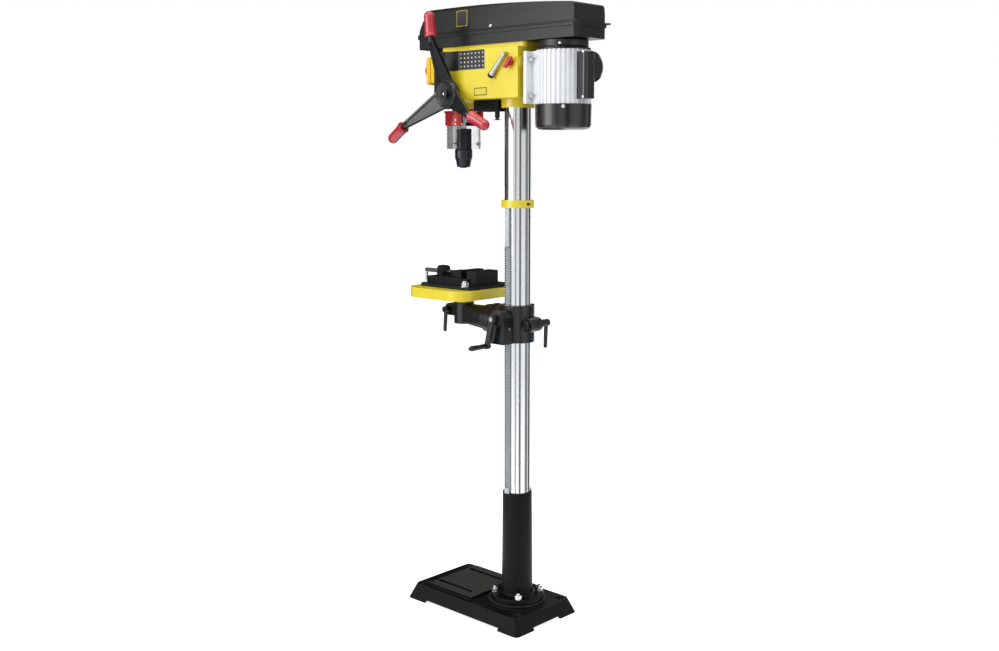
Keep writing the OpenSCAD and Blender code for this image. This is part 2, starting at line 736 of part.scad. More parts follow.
// Head casting: hollow box with column socket, quill bore, feed cross tube and slide bores
module head_casting() {
  half = head_w / 2;
  panel_y = -throat - head_front + panel_l;
  front_y = -throat - head_front + panel_t + seat;
  inner = half - panel_t - seat;
  color("gold") at_column(head_z) difference() {
    union() {
      difference() {
        union() {
          block(-half, half, panel_y + seat, head_rear, 0, head_h);
          block(-inner, inner, front_y, panel_y + 5, 0, head_h);
          translate([0, (panel_y + head_rear) / 2 - 20, head_h - 1])
            linear_extrude(neck_h + 1) rounded(cover_w - 10, head_rear - panel_y + 50, 14);
        }
        difference() {
          block(-inner + head_wall, inner - head_wall, front_y + head_wall,
            head_rear - head_wall, head_wall, head_h - head_wall);
          cylinder(r = col_r + 12, h = head_h);
          translate([0, -throat, 0]) cylinder(d = quill_d + 22, h = head_h);
          along_x(-half, feed_y, feed_z) cylinder(d = feed_d + 24, h = head_w);
          for (x = [-1, 1]) along_y(x * bar_dx / 2, -70, bar_z)
            cylinder(d = bar_d + 12, h = 200);
        }
      }
      translate([0, 0, -22.4]) cylinder(r = col_r + 8.5, h = 23, $fn = 72);
      translate([0, -throat, -21]) cylinder(d = quill_d + 20, h = 22);
      along_x(-half, feed_y, feed_z) cylinder(d = feed_d + 26, h = head_w);
      for (x = [-1, 1]) along_y(x * bar_dx / 2, head_rear - 1, bar_z)
        cylinder(d = bar_d + 18, h = 4);
    }
    translate([0, 0, -23]) cylinder(r = col_r + seat, h = 23 + col_in_head, $fn = 72);
    translate([0, -throat, -22]) cylinder(d = quill_d + 2 * run, h = 22 - 26 + quill_l + 6);
    translate([0, -throat, 0]) cylinder(d = sleeve_d + 8, h = pan_z + 1);
    translate([0, -throat, pan_z - 30]) cylinder(d = 47 + 2 * seat, h = 31);
    along_x(-half - 1, feed_y, feed_z) cylinder(d = feed_d + 2 * run, h = head_w + 2);
    along_x(-14, feed_y, feed_z) cylinder(r = feed_r + 0.9 * feed_m + 1, h = 28);
    for (x = [-1, 1]) along_y(x * bar_dx / 2, -60, bar_z) cylinder(d = bar_d + 2 * run, h = 140);
    along_x(half - 12, lever_y, lever_z) cylinder(d = 10 + 2 * run, h = 20);
    along_x(bar_dx / 2 + bar_d / 2, lock_y, bar_z) cylinder(d = 8 + 2 * run, h = 40);
  }
}

module front_panel() {
  y0 = -throat - head_front;
  half = head_w / 2;
  color([0.1, 0.1, 0.11]) at_column(head_z) difference() {
    translate([0, y0 + panel_l / 2, 0]) linear_extrude(head_h) union() {
      rounded(head_w, panel_l, 12);
      translate([-half, 0]) square([head_w, panel_l / 2]);
    }
    block(-half + panel_t, half - panel_t, y0 + panel_t, y0 + panel_l + 1, -1, head_h + 1);
    along_x(-head_w, feed_y, feed_z) cylinder(d = feed_d + 26 + 2 * seat, h = 2 * head_w, $fn = 96);
  }
}

// Laser and lamp unit screwed under the head, behind the quill
module laser_unit() {
  y1 = -col_r - 9;
  color([0.1, 0.1, 0.11]) at_column(head_z) {
    difference() {
      block(-30, 30, y1 - 88, y1, -29, -seat);
      block(-27, 27, y1 - 85, y1 - 3, -27, -2);
    }
    translate([0, y1 - 30, -46]) cylinder(d = 13, h = 17.1);
    translate([0, y1 - 30, -52]) cylinder(d = 16, h = 2);
    translate([0, y1 - 30, -52]) cylinder(d = 9, h = 7);
  }
}

// Switch: box on the front, hinged flap with the stop knob, start button under the flap
sw_x = 35;
sw_z = 82;
sw_w = 50;
sw_h = 70;
sw_d = 22;
flap_d = 14;

module at_switch() {
  translate([sw_x, col_y - throat - head_front, head_z + sw_z]) rotate([90, 0, 0]) children();
}

module switch_box() {
  color("gold") at_switch() difference() {
    linear_extrude(sw_d) rounded(sw_w, sw_h, 8);
    translate([0, 0, 2]) linear_extrude(sw_d - 5) rounded(sw_w - 6, sw_h - 6, 6);
    translate([0, -18, 0]) cylinder(d = 16 + 2 * run, h = sw_d + 1);
    translate([0, 2, 0]) cylinder(d = 12, h = sw_d + 1);
  }
}

module switch_flap() {
  color("gold") at_switch() translate([0, 0, sw_d + gap]) {
    difference() {
      linear_extrude(flap_d) rounded(sw_w + 4, sw_h + 4, 10);
      translate([0, 0, -1]) linear_extrude(flap_d - 2) rounded(sw_w - 2, sw_h - 2, 7);
      translate([0, 2, 0]) cylinder(d = 22 + 2 * run, h = flap_d + 1);
    }
    translate([0, sw_h / 2 + 4, 0]) rotate([0, 90, 0])
      cylinder(d = 5, h = sw_w - 12, center = true);
    block(-sw_w / 2 + 6, sw_w / 2 - 6, sw_h / 2, sw_h / 2 + 4, 0, 4);
  }
}

module stop_knob() {
  color("red") at_switch() translate([0, 2, 0]) {
    translate([0, 0, sw_d + 1]) cylinder(d = 11, h = flap_d);
    translate([0, 0, sw_d + 6]) rotate_extrude() polygon([[0, 0], [11, 0], [11, flap_d + 2],
      [18.5, flap_d + 4], [18.5, flap_d + 8], [15, flap_d + 12], [8, flap_d + 14],
      [0, flap_d + 14.5]]);
  }
}

module start_button() {
  color("green") at_switch() translate([0, -18, 0]) {
    translate([0, 0, 8]) cylinder(d = 16, h = sw_d - 4);
    translate([0, 0, 8]) cylinder(d = 19, h = 4);
  }
}

// Feed return: flat spiral spring in a cup on the left of the head
cap_x = -head_w / 2;
cap_r = 27.5;

module spring_cap() {
  color([0.15, 0.15, 0.16]) translate([0, col_y, head_z]) difference() {
    union() {
      along_x(cap_x - 26, feed_y, feed_z) cylinder(r = 30, h = 26 - seat);
      along_x(cap_x - 34, feed_y, feed_z) hex(19, 9);
    }
    along_x(cap_x - 23, feed_y, feed_z) cylinder(r = cap_r, h = 24);
  }
}

function spiral(r0, r1, turns, t) = [for (i = [0 : 20 * turns])
  let (r = r0 + (r1 - r0) * i / (20 * turns), a = 18 * i) [(r + t) * cos(a), (r + t) * sin(a)]];

module return_spring() {
  inner = spiral(feed_d / 2 + gap, cap_r - gap - 1, 5, 0);
  outer = spiral(feed_d / 2 + gap, cap_r - gap - 1, 5, 1);
  color("silver") along_x(cap_x - 20, col_y + feed_y, head_z + feed_z) linear_extrude(16)
    polygon(concat(inner, [for (i = [len(outer) - 1 : -1 : 0]) outer[i]]));
}

// Drive sleeve on two ball bearings in the head; its splines carry the spindle round
module spline(d, n, depth, play) {
  difference() {
    circle(d = d + 2 * play);
    for (i = [0 : n - 1]) rotate(i * 360 / n)
      translate([d / 2 - depth + play, -d / 8 + play]) square([depth + 2, d / 4 - 2 * play]);
  }
}

spline_d = 17;
sleeve_z = pan_z - 32;
sleeve_top = pulley_z + 4 * step_h;

module drive_sleeve() {
  color("silver") at_column(head_z) translate([0, -throat, sleeve_z])
    linear_extrude(sleeve_top - sleeve_z) difference() {
      circle(d = sleeve_d);
      spline(spline_d, 6, 2, run);
    }
}

module ball_bearing(d_in, d_out, w) {
  r0 = d_in / 2 + run;
  r1 = d_out / 2;
  rotate_extrude() polygon([[r0, 0], [r1, 0], [r1, w], [r1 - 2.5, w], [r1 - 2.5, w - 1],
    [r0 + 2.5, w - 1], [r0 + 2.5, w], [r0, w]]);
}

module head_bearings() {
  color("silver") at_column(head_z) for (z = [pan_z - 28, pan_z - 14])
    translate([0, -throat, z]) ball_bearing(sleeve_d, 47, 12);
}

// Quill: bored steel sleeve with the feed rack cut into its rear
module quill() {
  pitch = pi * feed_m;
  color("silver") at_column(head_z) translate([0, -throat, quill_z]) difference() {
    cylinder(d = quill_d, h = quill_l);
    translate([0, 0, -1]) cylinder(d = spindle_d + 8, h = quill_l + 2);
    translate([0, 0, -1]) cylinder(d = 40 + 2 * seat, h = 15);
    translate([0, 0, quill_l - 14]) cylinder(d = 34 + 2 * seat, h = 15);
    translate([0, quill_d / 2 - feed_m, feed_z - quill_z]) rotate([0, 0, 90])
      rotate([90, 0, 0]) linear_extrude(26, center = true) difference() {
        translate([-2 * feed_m, -2.5 * pitch]) square([4 * feed_m, quill_l]);
        polygon(rack_points(feed_m, -2 * pitch, 22, 4, 0.1, -4 * pitch, quill_l + pitch));
      }
  }
}

module spindle_bearings() {
  color("silver") at_column(head_z) {
    translate([0, -throat, quill_z + 1]) ball_bearing(spindle_d, 40, 12);
    translate([0, -throat, quill_z + quill_l - 13]) ball_bearing(spindle_d, 34, 11);
  }
}

module spindle() {
  z0 = chuck_top - 26;
  color("silver") at_column(head_z) translate([0, -throat, 0]) {
    translate([0, 0, quill_z - gap - 30]) cylinder(d = 30, h = 30);
    translate([0, 0, quill_z - 2]) cylinder(d = spindle_d, h = quill_l + 2);
    translate([0, 0, z0]) cylinder(d1 = 15, d2 = 17, h = quill_z - 20 - z0);
    translate([0, 0, quill_z + quill_l - 1])
      linear_extrude(sleeve_top + 8 - quill_z - quill_l) spline(spline_d, 6, 2, 0);
  }
}

// Keyless chuck: body with three inclined jaw guides inside a gripping sleeve
module chuck_body() {
  color([0.12, 0.12, 0.12]) at_column(head_z) translate([0, -throat, 0]) difference() {
    rotate_extrude() polygon([[0, chuck_end], [9, chuck_end], [12, chuck_end + 3],
      [15, chuck_end + 9], [20, chuck_end + 30], [20, chuck_top - 14], [chuck_d / 2, chuck_top - 12],
      [chuck_d / 2, chuck_top - 1], [chuck_d / 2 - 1, chuck_top], [0, chuck_top]]);
    translate([0, 0, chuck_top - 26 - seat])
      cylinder(d1 = 15 + 2 * seat, d2 = 17 + 2 * seat, h = 26 + 2 * seat);
    translate([0, 0, chuck_end - 1]) cylinder(r = 5.6, h = chuck_l - 32);
    for (i = [0 : 2]) jaw_place(i) translate([0, 0, -9]) cylinder(r = 2.5 + 3 * run, h = 42);
  }
}

module jaw_place(i) {
  translate([0, 0, chuck_end]) rotate([0, 0, jaw_start + 120 * i]) translate([5.2, 0, 0])
    rotate([0, jaw_tilt, 0]) children();
}

module chuck_jaw(i) {
  color("dimgray") at_column(head_z) translate([0, -throat, 0]) intersection() {
    jaw_place(i) translate([0, 0, -2]) cylinder(r = 2.5, h = 32);
    rotate([0, 0, jaw_start + 120 * i]) translate([0, 0, chuck_end - 1]) linear_extrude(60)
      polygon([[3, -1.2], [4.6, -4], [25, -4], [25, 4], [4.6, 4], [3, 1.2]]);
  }
}

module chuck_sleeve() {
  r = chuck_d / 2;
  rb = chuck_band_d / 2;
  bore = 20 + gap;
  color([0.1, 0.1, 0.1]) at_column(head_z) translate([0, -throat, 0]) difference() {
    rotate_extrude() polygon([[bore, chuck_top - 14 - gap], [r, chuck_top - 14 - gap],
      [r, chuck_end + 52], [rb - 0.8, chuck_end + 50], [rb, chuck_end + 48],
      [rb, chuck_end + 26], [r, chuck_end + 22], [18, chuck_end + 3], [15.5, chuck_end + 2],
      [15.5 + gap, chuck_end + 8], [bore, chuck_end + 28]]);
    for (i = [0 : 11]) rotate([0, 0, 30 * i]) translate([rb + 1, 0, chuck_end + 24])
      cylinder(r = 1.8, h = 30);
  }
}

// Chuck guard: clamp on the quill, red band on a side hinge, clear half-round shield
guard_z = -27;
band_h = 38;
guard_x = -guard_d / 2 - 4;
guard_hy = 14;
guard_from = 133;
guard_to = 400;

module guard_clamp() {
  color([0.12, 0.12, 0.13]) at_column(head_z) translate([0, -throat, 0]) difference() {
    union() {
      translate([0, 0, quill_z]) cylinder(d = quill_d + 12, h = 4.5);
      block(guard_x - 5, -quill_d / 2, guard_hy - 6, guard_hy + 6, quill_z, quill_z + 4.5);
      translate([guard_x, guard_hy, quill_z]) cylinder(d = 13, h = 4.5);
    }
    translate([0, 0, quill_z - 1]) cylinder(d = quill_d + 2 * seat, h = 8);
    translate([guard_x, guard_hy, quill_z - 1]) cylinder(d = 6 + 2 * run, h = 8);
  }
}

module guard_arc(d_out, d_in, h, from, to) {
  rotate([0, 0, from]) rotate_extrude(angle = to - from, $fn = 72)
    translate([d_in / 2, 0]) square([(d_out - d_in) / 2, h]);
}

module guard_band() {
  top = quill_z - gap;
  color("red") at_column(head_z) translate([0, -throat, 0]) {
    translate([0, 0, top - band_h]) difference() {
      union() {
        cylinder(d = guard_d, h = band_h);
        translate([0, 0, band_h - 4]) cylinder(d = guard_d + 6, h = 4);
      }
      translate([0, 0, -1]) cylinder(d = guard_d - 8, h = band_h + 2);
      translate([0, 0, -1]) linear_extrude(band_h + 2) polygon([[0, 0],
        [cos(guard_to) * guard_d, sin(guard_to) * guard_d], [0, 2 * guard_d],
        [cos(guard_from) * guard_d, sin(guard_from) * guard_d]]);
    }
    translate([guard_x, guard_hy, top - band_h]) cylinder(d = 13, h = band_h);
    block(guard_x, guard_x + 7.4, guard_hy - 6.4, guard_hy + 4, top - band_h, top);
    translate([guard_x, guard_hy, top - 1]) cylinder(d = 6, h = 6);
  }
}

module guard_shield() {
  top = quill_z - gap - band_h;
  r = guard_d / 2 - 4;
  color([0.8, 0.8, 0.8, 0.4]) at_column(head_z) translate([0, -throat, 0]) {
    translate([0, 0, top - shield_l])
      guard_arc(2 * r - gap, 2 * r - 4, shield_l + 12, guard_from + 3, guard_to - 3);
    for (a = [172, 382]) rotate([0, 0, a]) {
      along_x(r - 1.4, 0, top - shield_l + 14) cylinder(d = 5, h = 8);
      along_x(r + 2, 0, top - shield_l + 14) cylinder(d = 9, h = 5);
      block(r + 3, r + 9, -9, 9, top - shield_l + 12.8, top - shield_l + 15.2);
    }
  }
}

// Feed: pinion shaft across the head, depth-stop ring and three-arm handle
module feed_shaft() {
  color("silver") at_column(head_z) translate([0, feed_y, feed_z]) {
    along_x(cap_x - 21, 0, 0) cylinder(d = feed_d, h = hub_x + hub_bore - cap_x + 20);
    along_x(0, 0, 0) rotate([0, 0, 90 + 180 / feed_teeth])
      hub_gear(feed_m, feed_teeth, 24, 0.06);
  }
}

module depth_ring() {
  x = head_w / 2 + gap;
  color([0.1, 0.1, 0.1]) at_column(head_z) translate([0, feed_y, feed_z]) difference() {
    union() {
      along_x(x, 0, 0) cylinder(d = stop_d, h = 7);
      along_x(x, 0, 0) cylinder(d = stop_d - 14, h = 9);
    }
    along_x(x - 1, 0, 0) cylinder(d = feed_d + 2 * run, h = 20);
  }
}

hub_x = head_w / 2 + 10;
hub_bore = 22;
root_x = hub_x + 12;
root_r = 30;
neck_x = hub_x + 55;
neck_d = 16;
arm_end = handle_r - grip_l;
pin_d = 10;
arm_flare = atan((neck_x - root_x) / (arm_end - root_r - 7));

module arm_places() {
  for (i = [0 : 2]) at_column(head_z) translate([0, feed_y, feed_z])
    rotate([handle_lean + 120 * i, 0, 0]) children();
}

// One cast arm: a tapered web with a raised rim along both edges
module arm_plate(t, half0, half1, from, to) {
  translate([-t / 2, 0, 0]) rotate([90, 0, 90]) linear_extrude(t)
    polygon([[-half0, from], [half0, from], [half1, to], [-half1, to]]);
}

module feed_hub() {
  r = hub_d / 2;
  l = (arm_end - root_r - 7) / cos(arm_flare);
  color([0.12, 0.12, 0.13]) difference() {
    union() {
      at_column(head_z) along_x(hub_x, feed_y, feed_z) rotate_extrude($fn = 72)
        polygon([[0, 0], [r - 1, 0], [r, 3], [r, 9], [r - 1.5, 13], [r - 3.5, 16], [r - 6, 17],
          [r - 8, 16.5], [r - 10, 14], [12, 13], [12, 22], [10, 24], [0, 24]]);
      arm_places() translate([root_x, 0, root_r]) rotate([0, arm_flare, 0]) {
        arm_plate(5, 26, neck_d / 2, -6, l);
        difference() {
          arm_plate(11, 26, neck_d / 2, -6, l);
          arm_plate(12, 20.5, 3.5, -7, l - 8);
        }
      }
      arm_places() translate([neck_x, 0, arm_end - 16]) {
        cylinder(d = neck_d, h = 16);
        cylinder(d = pin_d, h = 46);
      }
    }
    at_column(head_z) along_x(hub_x - 1, feed_y, feed_z)
      cylinder(d = feed_d + 2 * seat, h = hub_bore);
  }
}

module feed_grips() {
  r = grip_d / 2;
  color("crimson") arm_places() translate([neck_x, 0, arm_end]) difference() {
    rotate_extrude() polygon(concat([[0, 0], [r + 2.5, 0], [r + 2.5, 2], [r + 0.6, 9], [r, 20]],
      [for (a = [0 : 15 : 90]) [r * cos(a), grip_l - r + r * sin(a)]]));
    translate([0, 0, -1]) cylinder(d = pin_d + 2 * seat, h = 31);
  }
}

// Belt pan: floor and walls bolted on the neck, with idler stud and hinge knuckles
module cover_plan(grow) {
  translate([0, (cover_rear - cover_front) / 2])
    rounded(cover_w + 2 * grow, cover_rear + cover_front + 2 * grow, 12 + grow);
}

hinge_x = -cover_w / 2 - 9;
hinge_z = seam_z + 1.5;
hinge_y = [170, -60, -250];

module belt_pan() {
  color([0.12, 0.12, 0.13]) at_column(head_z) {
    difference() {
      union() {
        translate([0, 0, pan_z]) linear_extrude(pan_h) cover_plan(0);
        translate([0, 0, seam_z - 7]) linear_extrude(7) cover_plan(4);
      }
      translate([0, 0, pan_z + cover_wall]) linear_extrude(pan_h) cover_plan(-cover_wall);
      translate([0, -throat, pan_z - 1]) cylinder(d = 38, h = 10);
      translate([0, motor_y - 6, pan_z - 1]) slot(52, 66, 10);
    }
    translate([0, -idler_y, pan_z + 1]) cylinder(d = 34, h = cover_wall + 1);
    translate([0, -idler_y, pan_z + 1]) cylinder(d = 16, h = pulley_z + 4 * step_h - pan_z);
    for (y = hinge_y) {
      difference() {
        union() {
          along_y(hinge_x, y, hinge_z) cylinder(d = 7, h = 9);
          block(hinge_x, -cover_w / 2, y, y + 9, seam_z - 4, seam_z - 1);
        }
        translate([0, 0, seam_z]) block(-cover_w / 2 - 4 - gap, 0, y - 1, y + 10, 0, 9);
      }
      along_y(hinge_x, y + 2, hinge_z) cylinder(d = 3, h = 18);
    }
  }
}

// Belt cover: moulded lid, an arched side outline crossed with a round-shouldered section
module cover_side(inset) {
  r0 = cover_front - inset;
  r1 = cover_rear - inset;
  edge = 9 - inset;
  draft = 7;
  arch = [for (t = [0 : 0.125 : 1])
    [-r0 + 40 + t * (r1 - draft - edge + r0 - 40),
      66 - inset - 14 * pow(t, 2) + 3 * (1 - pow(2 * t - 0.6, 2))]];
  end = arch[len(arch) - 1];
  corner = [for (a = [15 : 15 : 90]) [end[0] + edge * sin(a), end[1] - edge + edge * cos(a)]];
  rotate([90, 0, 90]) linear_extrude(cover_w + 20, center = true)
    polygon(concat([[r1, -1], [-r0, -1], [-r0, 3], [-r0 + 19, 36], [-r0 + 36, 60 - inset]], arch,
      corner));
}

module cover_section(inset) {
  w = cover_w / 2 - inset;
  r = 12 - inset;
  top = 70 - inset;
  rotate([90, 0, 0]) linear_extrude(700, center = true) union() {
    polygon([[-w, -1], [w, -1], [w - 1, 40], [-w + 1, 40]]);
    square([2 * (w - r) - 4, 2 * top], center = true);
    polygon([[-w + 1, 39], [w - 1, 39], [w - 3, top - r], [-w + 3, top - r]]);
    for (s = [-1, 1]) translate([s * (w - 3 - r), top - r]) circle(r);
  }
}

module belt_cover() {
  lip_z = seam_z + gap;
  color([0.13, 0.13, 0.14]) at_column(head_z) {
    difference() {
      union() {
        translate([0, 0, lip_z]) intersection() {
          cover_side(0);
          cover_section(0);
          linear_extrude(90) cover_plan(0);
        }
        translate([0, 0, lip_z]) linear_extrude(4) cover_plan(4);
        block(-cover_w / 2 - 4, -cover_w / 2 + 7, cover_rear - 8, cover_rear + 9, lip_z, lip_z + 4);
      }
      translate([0, 0, lip_z]) intersection() {
        cover_side(cover_wall);
        cover_section(cover_wall);
        translate([0, 0, -2]) linear_extrude(92) cover_plan(-cover_wall);
      }
    }
    for (y = hinge_y) difference() {
      union() {
        along_y(hinge_x, y + 9 + gap, hinge_z) cylinder(d = 7, h = 9);
        block(hinge_x, -cover_w / 2 - 1, y + 9 + gap, y + 18 + gap, hinge_z, seam_z + 4 + gap);
      }
      along_y(hinge_x, y, hinge_z) cylinder(d = 3 + 2 * run, h = 30);
    }
  }
}

// Step pulleys: one turned profile with a V groove at each level
function groove(r, z) = let (o = r + belt_h / 2 + 0.5, b = r - belt_h / 2 - gap - 0.6,
    wo = belt_w / 2 + gap + 0.35, wb = wo - (o - b) * tan(17))
  [[o, z], [o, z + step_h / 2 - wo], [b, z + step_h / 2 - wb], [b, z + step_h / 2 + wb],
    [o, z + step_h / 2 + wo], [o, z + step_h]];

module step_pulley(steps, bore_d) {
  difference() {
    rotate_extrude($fn = 72) polygon(concat([[0, 0]],
      [for (i = [0 : 3]) each groove(steps[i], i * step_h)], [[0, 4 * step_h]]));
    translate([0, 0, -1]) cylinder(d = bore_d, h = 4 * step_h + 2);
  }
}

module spindle_pulley() {
  color("silver") at_column(head_z + pulley_z) translate([0, -throat, 0])
    step_pulley(spindle_steps, sleeve_d + 2 * seat);
}

module idler_pulley() {
  color("silver") at_column(head_z + pulley_z) translate([0, -idler_y, 0])
    step_pulley(idler_steps, 16 + 2 * run);
}

module motor_pulley() {
  color("silver") at_column(head_z + pulley_z) translate([0, motor_y, 0])
    step_pulley(motor_steps, shaft_d + 2 * seat);
}

// V-belt round two pulleys: one trapezoid section swept along two arcs and two straights
belt_steps = 30;
function belt_ring(y, r, a) = let (w = belt_w / 2, b = belt_w / 2 - belt_h * tan(17))
  [for (p = [[-belt_h / 2, -b], [belt_h / 2, -w], [belt_h / 2, w], [-belt_h / 2, b]])
    [(r + p[0]) * cos(a), y + (r + p[0]) * sin(a), p[1]]];

module belt(ya, ra, yb, rb, level) {
  lean = asin((rb - ra) / (ya - yb));
  rings = concat(
    [for (i = [0 : belt_steps]) belt_ring(ya, ra, lean + i * (180 - 2 * lean) / belt_steps)],
    [for (i = [0 : belt_steps]) belt_ring(yb, rb, 180 - lean + i * (180 + 2 * lean) / belt_steps)]);
  n = len(rings);
  faces = [for (i = [0 : n - 1], k = [0 : 3])
    let (a = 4 * i + k, b = 4 * i + (k + 1) % 4, c = 4 * ((i + 1) % n))
    [b, a, c + k, c + (k + 1) % 4]];
  at_column(head_z + pulley_z + (level + 0.5) * step_h)
    polyhedron([for (g = rings) each g], faces);
}

module front_belt() {
  color([0.08, 0.08, 0.08])
    belt(-idler_y, idler_steps[front_step], -throat, spindle_steps[front_step], front_step);
}

module rear_belt() {
  color([0.08, 0.08, 0.08])
    belt(motor_y, motor_steps[rear_step], -idler_y, idler_steps[rear_step], rear_step);
}

// Motor carriage: two slide bars pressed in a plate, with the ribbed motor bolted on it
module slide_bars() {
  y0 = foot_y - 5;
  color("silver") at_column(head_z) {
    difference() {
      block(-foot_w / 2 + 4, foot_w / 2 - 4, y0, foot_y, motor_z + 6, motor_top - 4);
      for (x = [-1, 1], z = [-45, 45])
        along_y(x * 56, y0 - 1, motor_z + motor_h / 2 + z) cylinder(d = 8.4, h = 20);
      along_y(0, y0 - 1, motor_z + motor_h / 2) cylinder(d = 60, h = 20);
    }
    for (x = [-1, 1]) along_y(x * bar_dx / 2, -40, bar_z) cylinder(d = bar_d, h = foot_y + 39);
  }
}

rib_count = 36;
function rib_points(r, depth) = [for (i = [0 : rib_count - 1], k = [0 : 3])
  let (a = (i + [-0.32, -0.2, 0.2, 0.32][k]) * 360 / rib_count,
    q = k == 0 || k == 3 ? r - depth : r)
  [q * cos(a), q * sin(a)]];

module motor_frame() {
  r = motor_d / 2;
  mid = motor_z + motor_h / 2;
  color("white") at_column(head_z) difference() {
    union() {
      translate([0, motor_y, motor_z]) linear_extrude(motor_h) polygon(rib_points(r, 3.5));
      block(-foot_w / 2, foot_w / 2, foot_y, foot_y + 9, motor_z + 2, motor_top - 1);
      for (x = [-1, 1]) block(x * 44 - 5, x * 44 + 5, foot_y, motor_y - 30, motor_z + 2,
        motor_top - 1);
    }
    translate([0, motor_y, motor_z - 1]) cylinder(r = r - 10, h = motor_h + 2);
    for (x = [-1, 1], z = [-45, 45]) along_y(x * 56, foot_y - 1, mid + z) {
      cylinder(d = 8.4, h = 20);
      translate([0, 0, 10]) cylinder(d = 17, h = 30);
    }
  }
}

module motor_bell() {
  r = motor_d / 2 - 2;
  color([0.2, 0.2, 0.21]) at_column(head_z) translate([0, motor_y, 0]) difference() {
    rotate_extrude() polygon([[0, motor_top], [r, motor_top], [r, motor_top + 4],
      [r - 6, motor_top + 9], [r - 6, pan_z - 3], [r - 9, pan_z - 1], [0, pan_z - 1]]);
    translate([0, 0, motor_top - 1]) cylinder(r = r - 12, h = motor_drop - 8);
    cylinder(d = shaft_d + 2 * run, h = 400, center = true);
  }
}

module fan_cowl() {
  r = cowl_d / 2;
  z1 = motor_z;
  z0 = z1 - cowl_h;
  color([0.1, 0.1, 0.11]) at_column(head_z) translate([0, motor_y, 0]) difference() {
    rotate_extrude($fn = 72) polygon([[0, z0], [r - 14, z0], [r - 8, z0 + 1.5], [r - 3, z0 + 5],
      [r - 1, z0 + 10], [r, z1], [0, z1]]);
    translate([0, 0, z0 + 3]) cylinder(r = r - 6, h = cowl_h);
    for (k = [1 : 4], i = [0 : 5]) rotate([0, 0, 60 * i])
      rotate([0, 0, 6]) rotate_extrude(angle = 48)
        translate([k * 11 + 4, z0 - 1]) square([5, 6]);
  }
}

// Terminal and capacitor box on the rear of the motor
box_turn = -8;

box_w = 36;
box_depth = 44;
box_lobe_r = 38;
box_lobe_drop = 42;

module terminal_box() {
  y0 = motor_d / 2 - 6;
  z0 = motor_z + 11;
  z1 = motor_top - 8;
  lobe_z = motor_top - box_lobe_drop;
  color([0.1, 0.1, 0.11]) at_column(head_z) translate([0, motor_y, 0]) difference() {
    rotate([0, 0, box_turn]) {
      translate([0, y0 + 12, z0]) linear_extrude(z1 - z0) rounded(box_w, box_depth, 9);
      along_y(-30, y0 - 12, lobe_z) cylinder(r = box_lobe_r, h = 20);
      along_y(-30, y0 + 8, lobe_z) cylinder(r1 = box_lobe_r, r2 = box_lobe_r - 9, h = 7);
    }
    translate([0, 0, motor_z - 1]) cylinder(r = motor_d / 2 + gap, h = motor_h + 2);
    translate([0, 0, motor_top]) cylinder(r = motor_d / 2 - 2 + seat, h = 40);
  }
}

// Rotor: shaft with laminated core and cooling fan
module motor_rotor() {
  color("silver") at_column(head_z) translate([0, motor_y, 0]) {
    translate([0, 0, motor_z - cowl_h + 10]) cylinder(d = shaft_d, h = cowl_h + motor_h
      + motor_drop + pulley_z - pan_z + 4 * step_h - 12);
    translate([0, 0, motor_z + 20]) cylinder(r = motor_d / 2 - 16, h = motor_h - 40);
    translate([0, 0, motor_z - cowl_h + 12]) cylinder(r = 26, h = 4);
    for (i = [0 : 7]) rotate([0, 0, 45 * i])
      block(8, motor_d / 2 - 14, -1, 1, motor_z - cowl_h + 12, motor_z - 14);
  }
}

// Belt tension lever and the wing knob that locks the slide
module tension_lever() {
  x = head_w / 2 + gap;
  color("silver") at_column(head_z) translate([0, lever_y, lever_z]) {
    along_x(x - 11, 0, 0) cylinder(d = 10, h = 12);
    along_x(x, 0, 0) cylinder(r = 6.5, h = 14);
    translate([x + 8.5, 0, 0]) rotate([180 - 42, 0, 0]) {
      cylinder(d1 = 8, d2 = 12, h = 54);
      translate([0, 0, 52]) cylinder(d1 = 13, d2 = 15, h = 16);
      translate([0, 0, 68]) cylinder(d1 = 15, d2 = 12, h = 3);
    }
  }
}

module slide_lock() {
  x = head_w / 2 + gap;
  stem_x = bar_dx / 2 + bar_d / 2 + gap;
  color("red") at_column(head_z) translate([0, lock_y, bar_z]) {
    along_x(stem_x, 0, 0) cylinder(d = 8, h = x - stem_x + 6);
    along_x(x, 0, 0) cylinder(r = 8.5, h = 10);
    along_x(x + 8, 0, 0) rotate([0, 0, -40]) linear_extrude(9) rounded(34, 9, 4);
  }
}

base();
column_support();
support_bolts();
column();
rack_ring();
rack();
table_bracket();
lift_gear();
worm_shaft();
crank();
crank_grip();
column_lock();
table_arm();
table_lock();
table();
vise_body();
vise_bolts();
vise_jaw();
vise_screw();
head_casting();
front_panel();
laser_unit();
switch_box();
switch_flap();
stop_knob();
start_button();
spring_cap();
return_spring();
head_bearings();
drive_sleeve();
quill();
spindle_bearings();
spindle();
chuck_body();
chuck_sleeve();
chuck_jaw(0);  // chuck_jaw_1
chuck_jaw(1);  // chuck_jaw_2
chuck_jaw(2);  // chuck_jaw_3
guard_clamp();
guard_band();
guard_shield();
feed_shaft();
depth_ring();
feed_hub();
feed_grips();
belt_pan();
belt_cover();
spindle_pulley();
idler_pulley();
motor_pulley();
front_belt();
rear_belt();
slide_bars();
motor_frame();
motor_bell();
fan_cowl();
terminal_box();
motor_rotor();
tension_lever();
slide_lock();
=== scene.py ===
import math

